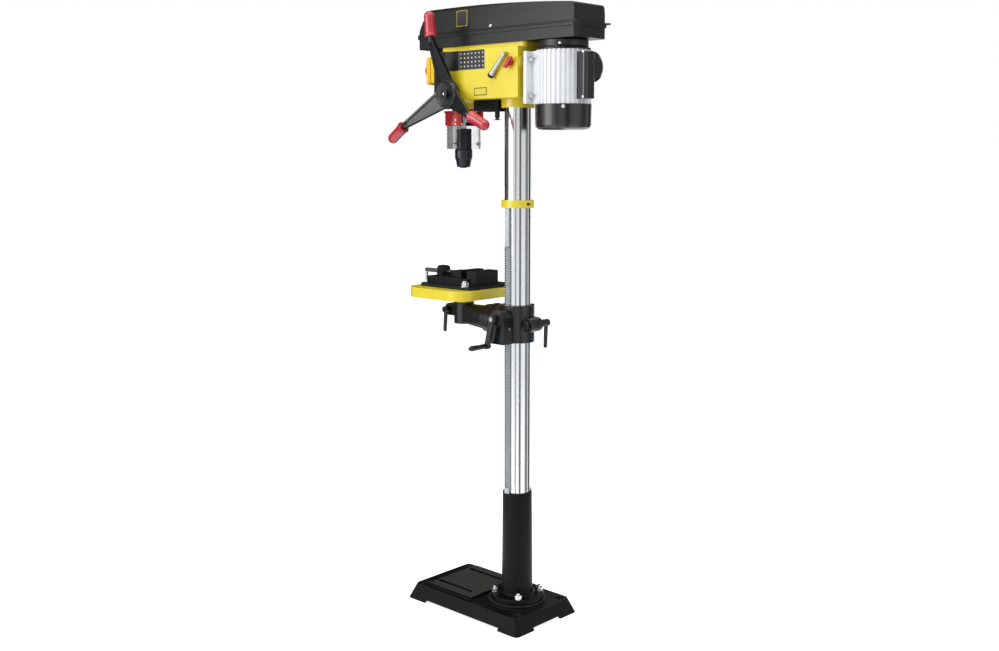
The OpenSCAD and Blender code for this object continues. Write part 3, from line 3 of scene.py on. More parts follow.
import bpy
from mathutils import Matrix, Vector


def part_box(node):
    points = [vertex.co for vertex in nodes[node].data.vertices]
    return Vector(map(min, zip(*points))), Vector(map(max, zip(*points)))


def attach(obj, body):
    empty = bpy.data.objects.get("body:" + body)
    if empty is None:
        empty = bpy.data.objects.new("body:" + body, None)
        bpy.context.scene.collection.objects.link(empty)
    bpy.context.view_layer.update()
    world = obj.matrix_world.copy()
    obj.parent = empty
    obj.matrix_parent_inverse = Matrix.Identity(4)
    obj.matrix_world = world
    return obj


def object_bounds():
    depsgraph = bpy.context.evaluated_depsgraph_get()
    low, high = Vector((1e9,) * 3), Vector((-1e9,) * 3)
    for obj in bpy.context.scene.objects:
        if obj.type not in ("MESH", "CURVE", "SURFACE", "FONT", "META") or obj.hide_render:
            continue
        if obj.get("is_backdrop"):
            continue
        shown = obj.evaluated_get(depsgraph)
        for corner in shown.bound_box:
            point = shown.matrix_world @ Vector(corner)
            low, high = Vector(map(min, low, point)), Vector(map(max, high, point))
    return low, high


# The machine as it was drawn: every casting, shaft and cover stands in its place.
# Lengths are in metres, +Z is up, the operator stands at -Y and the feed handle is at +X.
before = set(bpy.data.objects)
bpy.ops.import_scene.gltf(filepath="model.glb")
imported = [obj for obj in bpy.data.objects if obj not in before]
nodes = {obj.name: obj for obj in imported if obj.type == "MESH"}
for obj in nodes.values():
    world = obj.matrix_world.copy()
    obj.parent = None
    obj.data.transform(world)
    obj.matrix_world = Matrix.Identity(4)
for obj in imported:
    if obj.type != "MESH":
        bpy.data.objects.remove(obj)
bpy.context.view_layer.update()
bpy.ops.object.select_all(action="DESELECT")

# Studio: a white sweep with soft boxes, as for a catalogue picture of a machine.
# The camera stands behind the drill's right side at head height, tipped down a little, and
# its lens is shifted down for the rest, as in the photograph, where the uprights close in
# by about a twentieth from the head to the foot.
picture_width, picture_height = 999, 651
lens_pixels, lens_row = 1144.96, 298.56
camera_place = (2.22473, 2.1228, 1.25036)
camera_tip, camera_turn = math.radians(90 - 7.2), math.radians(133.211)

bpy.ops.object.camera_add(location=camera_place, rotation=(camera_tip, 0, camera_turn))
camera = bpy.context.object
camera.name = "studio_camera"
camera.data.sensor_width = 36
camera.data.lens = lens_pixels / picture_width * 36
camera.data.shift_y = (lens_row - picture_height / 2) / picture_width
camera.data.clip_end = 60
bpy.context.scene.camera = camera
bpy.context.scene.view_settings.view_transform = "Standard"


def linear(hex_colour, alpha=1.0):
    """The linear colour of an sRGB hex value."""
    parts = [int(hex_colour[i : i + 2], 16) / 255 for i in (1, 3, 5)]
    return [p / 12.92 if p <= 0.04045 else ((p + 0.055) / 1.055) ** 2.4 for p in parts] + [
        alpha
    ]


def put(tree, kind, links, **settings):
    """One shader node: its settings, and for each socket a value or the socket that feeds it."""
    made = tree.nodes.new(kind)
    for name, value in settings.items():
        setattr(made, name, value)
    for socket, value in links.items():
        if isinstance(value, bpy.types.NodeSocket):
            tree.links.new(value, made.inputs[socket])
        else:
            made.inputs[socket].default_value = value
    return made


def white_for(tree):
    """1 for the rays that show the white backdrop: camera, glossy and transmission rays."""
    ray = put(tree, "ShaderNodeLightPath", {})
    either = put(
        tree,
        "ShaderNodeMath",
        {0: ray.outputs["Is Camera Ray"], 1: ray.outputs["Is Transmission Ray"]},
        operation="MAXIMUM",
    )
    seen = put(
        tree,
        "ShaderNodeMath",
        {0: either.outputs[0], 1: ray.outputs["Is Glossy Ray"]},
        operation="MAXIMUM",
    )
    return seen.outputs[0]


world = bpy.data.worlds.new("studio_white")
bpy.context.scene.world = world
world.use_nodes = True
tree = world.node_tree
tree.nodes.clear()
seen = white_for(tree)
dim = put(tree, "ShaderNodeBackground", {"Color": linear("#e6e9ee"), "Strength": 0.66})
white = put(tree, "ShaderNodeBackground", {"Color": (1, 1, 1, 1), "Strength": 1.0})
shown = put(
    tree, "ShaderNodeMixShader", {0: seen, 1: dim.outputs[0], 2: white.outputs[0]}
)
put(tree, "ShaderNodeOutputWorld", {"Surface": shown.outputs[0]})

bpy.ops.mesh.primitive_plane_add(size=60, location=(0, 0, 0))
floor = bpy.context.object
floor.name = "studio_floor"
floor_paper = bpy.data.materials.new("white_paper")
floor_paper.use_nodes = True
tree = floor_paper.node_tree
tree.nodes.clear()
seen = white_for(tree)
lit = put(tree, "ShaderNodeBsdfDiffuse", {"Color": (0.8, 0.8, 0.8, 1)})
glow = put(tree, "ShaderNodeEmission", {"Color": (1, 1, 1, 1), "Strength": 0.8})
lifted = put(tree, "ShaderNodeAddShader", {0: lit.outputs[0], 1: glow.outputs[0]})
shown = put(
    tree, "ShaderNodeMixShader", {0: seen, 1: lit.outputs[0], 2: lifted.outputs[0]}
)
put(tree, "ShaderNodeOutputMaterial", {"Surface": shown.outputs[0]})
floor.data.materials.append(floor_paper)
floor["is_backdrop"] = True

soft_boxes = [
    ("box_left", (2.6, -0.9, 1.9), (0, 0, 0.95), 1.6, 2.4, 46, True),
    ("box_right", (-0.9, 2.9, 1.7), (0, 0.1, 0.9), 1.3, 2.2, 15, False),
    ("box_top", (0.6, 0.5, 3.4), (0, 0, 1.2), 2.4, 2.4, 38, True),
    ("box_front", (-1.6, -2.4, 1.8), (0, 0, 1.0), 1.6, 2.0, 22, False),
]
for name, place, aim, wide, high, watts, mirrored in soft_boxes:
    bpy.ops.object.light_add(type="AREA", location=place)
    lamp = bpy.context.object
    lamp.name = name
    lamp.data.shape = "RECTANGLE"
    lamp.data.size, lamp.data.size_y = wide, high
    lamp.data.energy = watts
    lamp.visible_glossy = mirrored
    lamp.rotation_euler = (Vector(aim) - Vector(place)).to_track_quat("-Z", "Y").to_euler()

# Flags: black and grey card beside the lamps, which only a reflection shows. They draw the
# dark upright bands on the polished column and give the black paint something to mirror.
# Each stands at a compass angle from the column, with half its width as an angle.
flags = [
    ("flag_centre", 62, 7.5, 0.08),
    ("flag_near", 24, 4.5, 0.25),
    ("flag_side", 124, 15, 0.3),
    ("flag_back", 162, 14, 0.03),
    ("flag_left", 246, 32, 0.03),
    ("flag_soft", 296, 18, 0.16),
]
column_back = 0.099
flag_away, flag_high = 0.95, 5.0
for name, angle, half, grey in flags:
    turn = math.radians(angle)
    bpy.ops.mesh.primitive_plane_add(
        size=1,
        location=(flag_away * math.cos(turn), column_back + flag_away * math.sin(turn), 1.1),
        rotation=(math.radians(90), 0, turn + math.radians(90)),
    )
    flag = bpy.context.object
    flag.name = name
    flag.scale = (2 * flag_away * math.tan(math.radians(half)), flag_high, 1)
    card = bpy.data.materials.new(name + "_card")
    card.use_nodes = True
    card.node_tree.nodes.clear()
    paper = put(
        card.node_tree, "ShaderNodeEmission", {"Color": (grey, grey, grey, 1), "Strength": 1.0}
    )
    put(card.node_tree, "ShaderNodeOutputMaterial", {"Surface": paper.outputs[0]})
    flag.data.materials.append(card)
    flag.visible_camera = flag.visible_diffuse = flag.visible_shadow = False
    flag.visible_transmission = False
    flag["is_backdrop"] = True

# Base: one grey-iron casting with corner feet, black machine enamel all over, then a ground
# work pad with two keyhole slots. Sand casting leaves a pebbled swell under the enamel, and
# the grinding leaves the top of the pad dull and a little paler.
pad_floor = 0.0494


def start_finish(name, **sockets):
    """An empty finish with one shader whose sockets hold what is the same all over."""
    made = bpy.data.materials.new(name)
    made.use_nodes = True
    tree = made.node_tree
    tree.nodes.clear()
    shader = put(tree, "ShaderNodeBsdfPrincipled", sockets)
    put(tree, "ShaderNodeOutputMaterial", {"Surface": shader.outputs[0]})
    return made, tree, shader


def machine_enamel(
    name,
    colour,
    worn,
    rough,
    edge=0.0012,
    swell=0.012,
    grit=0.0016,
    pebble=0.00012,
    edge_wear_and_highlight=None,
    **sockets,
):
    """Sprayed enamel on sand-cast iron: a slow swell, a fine pebble, soft corners, a thinner,
    slightly paler coat on the high spots, and a paler line painted along the edges, partly wear
    and partly a painted highlight. Lengths are in metres; the pebble is drawn somewhat coarser
    than the real one, so that it shows."""
    made, tree, shader = start_finish(name, **sockets)
    spot = put(tree, "ShaderNodeTexCoord", {})
    where = spot.outputs["Object"]
    slow = put(tree, "ShaderNodeTexNoise", {"Vector": where, "Scale": 1 / swell, "Detail": 3})
    peel = put(tree, "ShaderNodeTexNoise", {"Vector": where, "Scale": 1 / grit, "Detail": 2})
    coat = put(
        tree,
        "ShaderNodeMapRange",
        {"Value": slow.outputs["Fac"], 1: 0.4, 2: 0.75, 3: 0.0, 4: 1.0},
    )
    tint = put(
        tree,
        "ShaderNodeMix",
        {0: coat.outputs[0], 6: linear(colour), 7: linear(worn)},
        data_type="RGBA",
    )
    dull = put(
        tree,
        "ShaderNodeMapRange",
        {"Value": peel.outputs["Fac"], 1: 0.3, 2: 0.7, 3: rough - 0.04, 4: rough + 0.06},
    )
    tree.links.new(dull.outputs[0], shader.inputs["Roughness"])
    corner = put(tree, "ShaderNodeBevel", {"Radius": edge}, samples=6)
    face = put(tree, "ShaderNodeNewGeometry", {})
    agree = put(
        tree,
        "ShaderNodeVectorMath",
        {0: corner.outputs[0], 1: face.outputs["Normal"]},
        operation="DOT_PRODUCT",
    )
    # Edge mask: where the rounded-corner normal turns away from the face normal, the colour goes
    # paler. This is partly wear and partly a painted highlight on the edge.
    lit_worn_edge = put(
        tree,
        "ShaderNodeMapRange",
        {"Value": agree.outputs["Value"], 1: 0.995, 2: 0.9, 3: 0.0, 4: 0.8},
    )
    edge_lit_colour = put(
        tree,
        "ShaderNodeMix",
        {0: lit_worn_edge.outputs[0], 6: tint.outputs[2], 7: linear(edge_wear_and_highlight or worn)},
        data_type="RGBA",
    )
    tree.links.new(edge_lit_colour.outputs[2], shader.inputs["Base Color"])
    wave = put(
        tree,
        "ShaderNodeBump",
        {
            "Strength": 0.3,
            "Distance": 0.0004,
            "Height": slow.outputs["Fac"],
            "Normal": corner.outputs[0],
        },
    )
    skin = put(
        tree,
        "ShaderNodeBump",
        {
            "Strength": 0.5,
            "Distance": pebble,
            "Height": peel.outputs["Fac"],
            "Normal": wave.outputs[0],
        },
    )
    tree.links.new(skin.outputs[0], shader.inputs["Normal"])
    return made


def dress(finish, *names):
    """Gives CAD nodes their finish, in place of the record's flat colour."""
    for name in names:
        for slot in nodes[name].material_slots:
            slot.material = finish


# Machine enamel over the casting's skin: nearly matt black, with its edges painted grey,
# partly as wear from feet and swarf and partly as a painted highlight. The pad above it is
# bare iron, brown-grey, with the straight lines of the grinding.
base_enamel = machine_enamel(
    "black_enamel_base",
    "#090a0b",
    "#101113",
    0.5,
    edge=0.0025,
    grit=0.0026,
    pebble=0.0004,
    # Pale grey on the edges: wear and a painted highlight.
    edge_wear_and_highlight="#3c3e42",
    **{"Specular IOR Level": 0.13},
)
tree = base_enamel.node_tree
enamelled = next(n for n in tree.nodes if n.type == "BSDF_PRINCIPLED")
spot = put(tree, "ShaderNodeTexCoord", {})
height = put(tree, "ShaderNodeSeparateXYZ", {0: spot.outputs["Object"]})
on_pad = put(
    tree, "ShaderNodeMath", {0: height.outputs["Z"], 1: pad_floor}, operation="GREATER_THAN"
)
stretch = put(
    tree, "ShaderNodeMapping", {"Vector": spot.outputs["Object"], "Scale": (30, 700, 30)}
)
scratch = put(tree, "ShaderNodeTexNoise", {"Vector": stretch.outputs[0], "Scale": 1, "Detail": 4})
ground = put(
    tree,
    "ShaderNodeMix",
    {0: scratch.outputs["Fac"], 6: linear("#3a3836"), 7: linear("#2c2b2a")},
    data_type="RGBA",
)
top = put(
    tree,
    "ShaderNodeMix",
    {
        0: on_pad.outputs[0],
        6: enamelled.inputs["Base Color"].links[0].from_socket,
        7: ground.outputs[2],
    },
    data_type="RGBA",
)
tree.links.new(top.outputs[2], enamelled.inputs["Base Color"])
dress(base_enamel, "base")

# Column support: a cast-iron socket turned outside, black enamel, held by four plated
# hexagon bolts, with one grub screw through its rim that stops the column turning.

# The same enamel on a turned surface: smoother, so a little more light runs down it.
support_enamel = machine_enamel(
    "black_enamel_support",
    "#08090a",
    "#0c0d0f",
    0.42,
    edge=0.0015,
    grit=0.0022,
    pebble=0.0003,
    # Dark grey on the edges: wear and a painted highlight.
    edge_wear_and_highlight="#2c2e31",
    **{"Specular IOR Level": 0.12},
)
dress(support_enamel, "column_support")


def bright_metal(
    name, colour, rough, streak=(60, 60, 900), depth=0.00004, edge=0.0004, spread=0.07, patch=0.1
):
    """Turned, ground or plated metal: fine tool marks across one direction, and patches of
    different shine. streak is in marks per metre along x, y and z. Real marks are a tenth of
    a millimetre apart and wouldn't show, so they are drawn about ten times as far apart."""
    made, tree, shader = start_finish(name, **{"Metallic": 1.0})
    spot = put(tree, "ShaderNodeTexCoord", {})
    stretch = put(
        tree, "ShaderNodeMapping", {"Vector": spot.outputs["Object"], "Scale": streak}
    )
    marks = put(
        tree,
        "ShaderNodeTexNoise",
        {"Vector": stretch.outputs[0], "Scale": 1.0, "Detail": 4, "Roughness": 0.6},
    )
    broad = put(
        tree,
        "ShaderNodeTexNoise",
        {"Vector": spot.outputs["Object"], "Scale": 14.0, "Detail": 3},
    )
    shade = put(
        tree,
        "ShaderNodeMapRange",
        {"Value": broad.outputs["Fac"], 1: 0.3, 2: 0.7, 3: 0.0, 4: 1.0},
    )
    bright = linear(colour)
    aged = [part * (1 - patch) for part in bright[:3]] + [1]
    tint = put(
        tree, "ShaderNodeMix", {0: shade.outputs[0], 6: bright, 7: aged}, data_type="RGBA"
    )
    tree.links.new(tint.outputs[2], shader.inputs["Base Color"])
    dull = put(
        tree,
        "ShaderNodeMapRange",
        {"Value": marks.outputs["Fac"], 1: 0.3, 2: 0.7, 3: rough - spread / 2, 4: rough + spread},
    )
    tree.links.new(dull.outputs[0], shader.inputs["Roughness"])
    corner = put(tree, "ShaderNodeBevel", {"Radius": edge}, samples=4)
    groove = put(
        tree,
        "ShaderNodeBump",
        {
            "Strength": 0.5,
            "Distance": depth,
            "Height": marks.outputs["Fac"],
            "Normal": corner.outputs[0],
        },
    )
    tree.links.new(groove.outputs[0], shader.inputs["Normal"])
    return made


# Zinc plating on steel: bright and cool, but satin.
zinc_plate = bright_metal("zinc_plated_steel", "#d4d6d8", 0.24, (400, 400, 400))
dress(zinc_plate, "support_bolts", "vise_bolts")


def faces_where(piece, test):
    """Opens the piece for editing, with the faces selected whose centre and normal pass."""
    bpy.context.view_layer.objects.active = piece
    bpy.context.tool_settings.mesh_select_mode = (False, False, True)
    bpy.ops.object.mode_set(mode="EDIT")
    bpy.ops.mesh.select_all(action="DESELECT")
    bpy.ops.object.mode_set(mode="OBJECT")
    for face in piece.data.polygons:
        face.select = test(face.center, face.normal)
    bpy.ops.object.mode_set(mode="EDIT")


def lay(piece, name, finish, body, smooth=30):
    """Names a finished piece, settles its place into its mesh, and hangs it on its body."""
    bpy.ops.object.mode_set(mode="OBJECT")
    bpy.ops.object.select_all(action="DESELECT")
    piece.select_set(True)
    bpy.context.view_layer.objects.active = piece
    bpy.ops.object.transform_apply(location=True, rotation=True, scale=True)
    bpy.ops.object.shade_smooth_by_angle(angle=math.radians(smooth))
    piece.name = name
    if not piece.data.materials:
        piece.data.materials.append(finish)
    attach(piece, body)
    piece.select_set(False)


def again(model, place, way, name, finish, body):
    """A copy of the model with its own mesh, stood at a place with its top facing a way."""
    bpy.ops.object.select_all(action="DESELECT")
    model.select_set(True)
    bpy.context.view_layer.objects.active = model
    bpy.ops.object.duplicate()
    copy = bpy.context.object
    copy.location = place
    copy.rotation_euler = Vector(way).to_track_quat("Z", "Y").to_euler()
    lay(copy, name, finish, body)
    return copy


def put_away(model):
    """The pattern that the copies were taken from isn't part of the machine."""
    bpy.data.objects.remove(model, do_unlink=True)


def dome_screw(radius, rise):
    """A raised-head screw with a cross slot, head up, its seat at the origin."""
    bpy.ops.mesh.primitive_cylinder_add(
        vertices=32, radius=radius, depth=rise, location=(0, 0, rise / 2)
    )
    bpy.ops.object.transform_apply(location=True, rotation=False, scale=False)
    screw = bpy.context.object
    faces_where(screw, lambda centre, normal: normal.z > 0.9)
    bpy.ops.mesh.bevel(offset=rise * 0.75, segments=4, affect="EDGES")
    faces_where(screw, lambda centre, normal: normal.z > 0.99)
    bpy.ops.mesh.inset(thickness=radius * 0.16)
    bpy.ops.mesh.extrude_region_move(TRANSFORM_OT_translate={"value": (0, 0, -rise * 0.35)})
    bpy.ops.object.mode_set(mode="OBJECT")
    return screw


grub = dome_screw(0.0034, 0.0052)
side = math.radians(127)
rim_radius, rim_high = 0.0352, 0.3545
again(
    grub,
    (rim_radius * math.cos(side), column_back + rim_radius * math.sin(side), rim_high),
    (math.cos(side), math.sin(side), 0),
    "column_grub_screw",
    zinc_plate,
    "stand",
)

# Column: a welded steel tube, centreless ground and polished, so that it mirrors the studio
# in upright bands. The rack is a milled bar left bright, and the ring a yellow casting with
# one socket screw.

# Centreless-ground steel: close to a mirror, with the faint rings of the wheel.
column_steel = bright_metal(
    "ground_tube_steel", "#cfd1d3", 0.15, (9, 9, 260), 0.000001, spread=0.03, patch=0.03
)
dress(column_steel, "column")
# Milled steel: greyer and duller than the tube, with marks along its length.
rack_steel = bright_metal("milled_rack_steel", "#b4b9bb", 0.36, (500, 500, 40), edge=0.0002)
dress(rack_steel, "rack", "lift_gear", "worm_shaft")
# Yellow enamel on smoothed iron: even, glossy, and rounded at the edges.
yellow_enamel = machine_enamel(
    "yellow_enamel",
    "#e4cf2e",
    "#e0ca29",
    0.3,
    edge=0.002,
    swell=0.05,
    pebble=0.00006,
    **{"Coat Weight": 0.3, "Coat Roughness": 0.1},
)
dress(yellow_enamel, "rack_ring")
# Black oxide on a socket screw: dark, with the glint of metal.
black_oxide = bright_metal("black_oxide_steel", "#1c1d1f", 0.36, (300, 300, 300))
ring_side, ring_high = math.radians(79), 1.121
ring_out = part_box("rack_ring")[1].x - 0.0008
again(
    grub,
    (ring_out * math.cos(ring_side), column_back + ring_out * math.sin(ring_side), ring_high),
    (math.cos(ring_side), math.sin(ring_side), 0),
    "ring_socket_screw",
    black_oxide,
    "stand",
)

# Table, bracket, arm, crank and locks: grey-iron castings pebbled by the sand, the table in
# the ring's yellow enamel and the rest in black, which shines on its flats and is painted
# paler along its edges, as wear and as a painted highlight. The crank's grip is moulded in black.
arm_enamel = machine_enamel(
    "black_enamel_arm",
    "#0c0e11",
    "#15171b",
    0.31,
    edge=0.0018,
    pebble=0.00015,
    # Grey on the edges: wear and a painted highlight.
    edge_wear_and_highlight="#33363b",
    **{"Specular IOR Level": 0.5},
)
dress(arm_enamel, "table_bracket", "table_arm", "crank", "column_lock", "table_lock")
dress(yellow_enamel, "table")


def moulding(name, colour, rough, grain=0.0009, depth=0.00005, edge=0.0012, **sockets):
    """Injection-moulded plastic: an even colour with the fine grain of the tool. The real
    grain is a tenth or two of a millimetre and wouldn't show, so it is drawn coarser."""
    made, tree, shader = start_finish(name, **{"IOR": 1.5, **sockets})
    spot = put(tree, "ShaderNodeTexCoord", {})
    fine = put(
        tree,
        "ShaderNodeTexNoise",
        {"Vector": spot.outputs["Object"], "Scale": 1 / grain, "Detail": 2},
    )
    broad = put(
        tree,
        "ShaderNodeTexNoise",
        {"Vector": spot.outputs["Object"], "Scale": 22.0, "Detail": 2},
    )
    full = linear(colour)
    faded = [part * 0.88 for part in full[:3]] + [1]
    tint = put(
        tree,
        "ShaderNodeMix",
        {0: broad.outputs["Fac"], 6: full, 7: faded},
        data_type="RGBA",
    )
    tree.links.new(tint.outputs[2], shader.inputs["Base Color"])
    dull = put(
        tree,
        "ShaderNodeMapRange",
        {"Value": fine.outputs["Fac"], 1: 0.3, 2: 0.7, 3: rough - 0.03, 4: rough + 0.05},
    )
    tree.links.new(dull.outputs[0], shader.inputs["Roughness"])
    corner = put(tree, "ShaderNodeBevel", {"Radius": edge}, samples=6)
    grained = put(
        tree,
        "ShaderNodeBump",
        {
            "Strength": 0.4,
            "Distance": depth,
            "Height": fine.outputs["Fac"],
            "Normal": corner.outputs[0],
        },
    )
    tree.links.new(grained.outputs[0], shader.inputs["Normal"])
    return made


# Moulded nylon: black and half matt.
grip_plastic = moulding("black_grip_plastic", "#101011", 0.36)
dress(grip_plastic, "crank_grip")

# Drill vise: a small grey-iron vise in dark satin enamel, bolted down on the table, with a
# chromed screw and a cranked end that mirrors what is round it.
vise_enamel = machine_enamel(
    "dark_enamel_vise",
    "#0c0e10",
    "#16181b",
    0.38,
    edge=0.001,
    pebble=0.0002,
    # Grey on the edges: wear and a painted highlight.
    edge_wear_and_highlight="#34373b",
    **{"Specular IOR Level": 0.25},
)
dress(vise_enamel, "vise_body", "vise_jaw")
chrome_plate = bright_metal(
    "chrome_plate", "#d6d8db", 0.1, (80, 80, 80), 0.000006, spread=0.03, patch=0.04
)
dress(chrome_plate, "vise_screw")

# Head: the yellow casting wears a black moulded panel round its front. Printed plates of
# dark film are stuck on its right side: a bare one, one with plain rows of pale and yellow
# dots for the speeds, and a small yellow one, bare in a dark border.

# Moulded ABS: black and half matt, with little shine of its own.
panel_plastic = moulding("black_panel_plastic", "#101113", 0.4, **{"Specular IOR Level": 0.3})
dress(panel_plastic, "front_panel", "laser_unit")
dress(yellow_enamel, "head_casting")
# Enamel on die-cast metal: smooth and black, with a soft shine and grey edges, partly
# wear and partly a painted highlight.
cap_enamel = machine_enamel(
    "black_enamel_cap",
    "#0e0f11",
    "#141518",
    0.28,
    edge=0.0015,
    pebble=0.00004,
    # Grey on the edges: wear and a painted highlight.
    edge_wear_and_highlight="#34363a",
    **{"Specular IOR Level": 0.5},
)
dress(cap_enamel, "spring_cap")
# Printed polyester film: flat, dark and dull, with pale and yellow ink.
plate_film = moulding("dark_plate_film", "#1e2026", 0.42, edge=0.0002)
plate_line = moulding("pale_plate_print", "#cfd0c4", 0.5, edge=0.0001)
plate_gold = moulding("yellow_plate_print", "#e6cf35", 0.45, edge=0.0001)


def touch(node, start, way):
    """Where a straight line from start first meets a CAD node, and the way it faces there."""
    hit, place, normal, _ = nodes[node].ray_cast(Vector(start), Vector(way).normalized())
    if not hit:
        raise ValueError(f"nothing of {node} lies on that line")
    return place, normal


def side_plate(name, node, low, high, border, trim, film, body):
    """A thin plate on a side that looks along +X: a rim in one print colour round a field
    that lies a little lower. low and high are its (y, z) corners."""
    bpy.ops.mesh.primitive_cube_add(size=1, location=(0, 0, 0.0003))
    plate = bpy.context.object
    plate.scale = (high[0] - low[0], high[1] - low[1], 0.0008)
    bpy.ops.object.transform_apply(location=True, rotation=False, scale=True)
    plate.data.materials.append(trim)
    plate.data.materials.append(film)
    faces_where(plate, lambda centre, normal: normal.z > 0.9)
    bpy.ops.mesh.inset(thickness=border)
    bpy.ops.mesh.extrude_region_move(TRANSFORM_OT_translate={"value": (0, 0, -0.0002)})
    plate.active_material_index = 1
    bpy.ops.object.material_slot_assign()
    bpy.ops.object.mode_set(mode="OBJECT")
    middle = ((low[0] + high[0]) / 2, (low[1] + high[1]) / 2)
    place, normal = touch(node, (0.3, *middle), (-1, 0, 0))
    again(plate, place, normal, name, film, body)
    put_away(plate)


side_plate(
    "maker_field_plate",
    "head_casting",
    (-0.0938, 1.467),
    (-0.0419, 1.517),
    0.0006,
    plate_film,
    plate_film,
    "stand",
)
side_plate(
    "speed_plate",
    "head_casting",
    (-0.0415, 1.467),
    (0.0515, 1.517),
    0.0006,
    plate_line,
    plate_film,
    "stand",
)
side_plate(
    "side_label_plate",
    "head_casting",
    (0.0132, 1.4005),
    (0.0582, 1.4200),
    0.0019,
    plate_film,
    plate_gold,
    "stand",
)

head_side = 0.075
dot_radius, dot_thick = 0.0022, 0.0006
first_dot, dot_step = (-0.034, 1.476), (0.0132, 0.0108)
bpy.ops.mesh.primitive_cylinder_add(
    vertices=20,
    radius=dot_radius,
    depth=dot_thick,
    location=(head_side + dot_thick, 0, 0),
    rotation=(0, math.radians(90), 0),
)
bpy.ops.object.transform_apply(location=False, rotation=True, scale=False)
dot = bpy.context.object
faces_where(dot, lambda centre, normal: normal.x > 0.9)
bpy.ops.mesh.inset(thickness=0.0004)
bpy.ops.mesh.extrude_region_move(TRANSFORM_OT_translate={"value": (0.0001, 0, 0)})
bpy.ops.object.mode_set(mode="OBJECT")
dots = []
for column in range(7):
    for row in range(4):
        bpy.ops.object.select_all(action="DESELECT")
        dot.select_set(True)
        bpy.context.view_layer.objects.active = dot
        bpy.ops.object.duplicate()
        mark = bpy.context.object
        mark.location.y = first_dot[0] + column * dot_step[0]
        mark.location.z = first_dot[1] + row * dot_step[1]
        mark.data.materials.append(plate_gold if (column + row) % 3 == 0 else plate_line)
        dots.append(mark)
bpy.ops.object.select_all(action="DESELECT")
for mark in dots:
    mark.select_set(True)
bpy.context.view_layer.objects.active = dots[0]
bpy.ops.object.join()
lay(bpy.context.object, "speed_plate_dots", plate_line, "stand")
put_away(dot)

# Switch: a box and a hinged flap moulded in warm yellow plastic on the front panel, with a
# red mushroom knob that comes through the flap and a green start button below it.

# Moulded ABS in three colours: smooth, with a low gloss.
switch_plastic = moulding("yellow_switch_plastic", "#f0c322", 0.34)
dress(switch_plastic, "switch_box", "switch_flap")
knob_plastic = moulding("red_knob_plastic", "#c2262a", 0.28)
dress(knob_plastic, "stop_knob")
start_plastic = moulding("green_start_plastic", "#1f8a3c", 0.3)
dress(start_plastic, "start_button")

# Feed: a ground steel shaft with its coiled return spring, a black die-cast hub with three
# arms behind a depth ring, glossy red grips, and one bright screw in the shaft's end.

# Ground steel: bright, with a soft even shine.
shaft_steel = bright_metal("ground_shaft_steel", "#bfc2c5", 0.24, (300, 300, 300))
dress(shaft_steel, "feed_shaft", "return_spring")
dress(cap_enamel, "feed_hub", "depth_ring")
# Dipped vinyl: deep red under a clear gloss.
grip_red = moulding(
    "crimson_grip_plastic",
    "#bb2131",
    0.24,
    edge=0.002,
    **{"Coat Weight": 0.6, "Coat Roughness": 0.12},
)
dress(grip_red, "feed_grips")
dome = dome_screw(0.0048, 0.0034)
hub_end, outward = touch("feed_shaft", (0.3, -0.068, 1.4062), (-1, 0, 0))
again(dome, hub_end, outward, "hub_screw", zinc_plate, "feed")

# Tension lever: a satin-chromed steel bar that slides the motor back to tighten the belts,
# with a black plastic cap pressed on its lower end. A red wing knob locks the slide.

# Satin chrome: pale grey, with blurred reflections.
lever_chrome = bright_metal(
    "satin_chrome", "#a9abad", 0.3, (200, 200, 200), 0.00001, spread=0.05
)
dress(lever_chrome, "tension_lever")
dress(knob_plastic, "slide_lock")
bpy.ops.mesh.primitive_cylinder_add(vertices=48, radius=0.0079, depth=0.008)
cap = bpy.context.object
faces_where(cap, lambda centre, normal: normal.z > 0.9)
bpy.ops.mesh.bevel(offset=0.0024, segments=5, affect="EDGES")
bpy.ops.object.mode_set(mode="OBJECT")
pivot_back, pivot_high = 0.126, 1.499
lever_slope, lever_reach, lever_radius = math.radians(48), 0.0685, 0.0075
lever_way = (0, -math.cos(lever_slope), -math.sin(lever_slope))
lever_end = (
    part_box("tension_lever")[1].x - lever_radius,
    pivot_back + lever_reach * lever_way[1],
    pivot_high + lever_reach * lever_way[2],
)
again(cap, lever_end, lever_way, "lever_cap", panel_plastic, "tension")
put_away(cap)

# Chuck, spindle and quill: the chuck is hardened steel, blackened, with a grooved sleeve to
# grip; its jaws, the spindle, the quill and their bearings are ground and left bright.

# Blackened steel: dark, with the blurred highlights of metal.
chuck_black = bright_metal(
    "blackened_chuck_steel", "#3b3c40", 0.3, (200, 200, 900), 0.00002, patch=0.2
)
dress(chuck_black, "chuck_body", "chuck_sleeve")
dress(shaft_steel, "chuck_jaw_1", "chuck_jaw_2", "chuck_jaw_3")
dress(shaft_steel, "quill", "spindle", "drive_sleeve", "spindle_bearings", "head_bearings")

# Chuck guard: a black clamp on the quill and a hinged band moulded in red, which carries a
# half-round shield of lightly smoked polycarbonate held by three plated rivets.

# Moulded ABS: plain red with a low gloss.
band_red = moulding("red_band_plastic", "#c21d24", 0.3)
dress(band_red, "guard_band")
dress(panel_plastic, "guard_clamp")
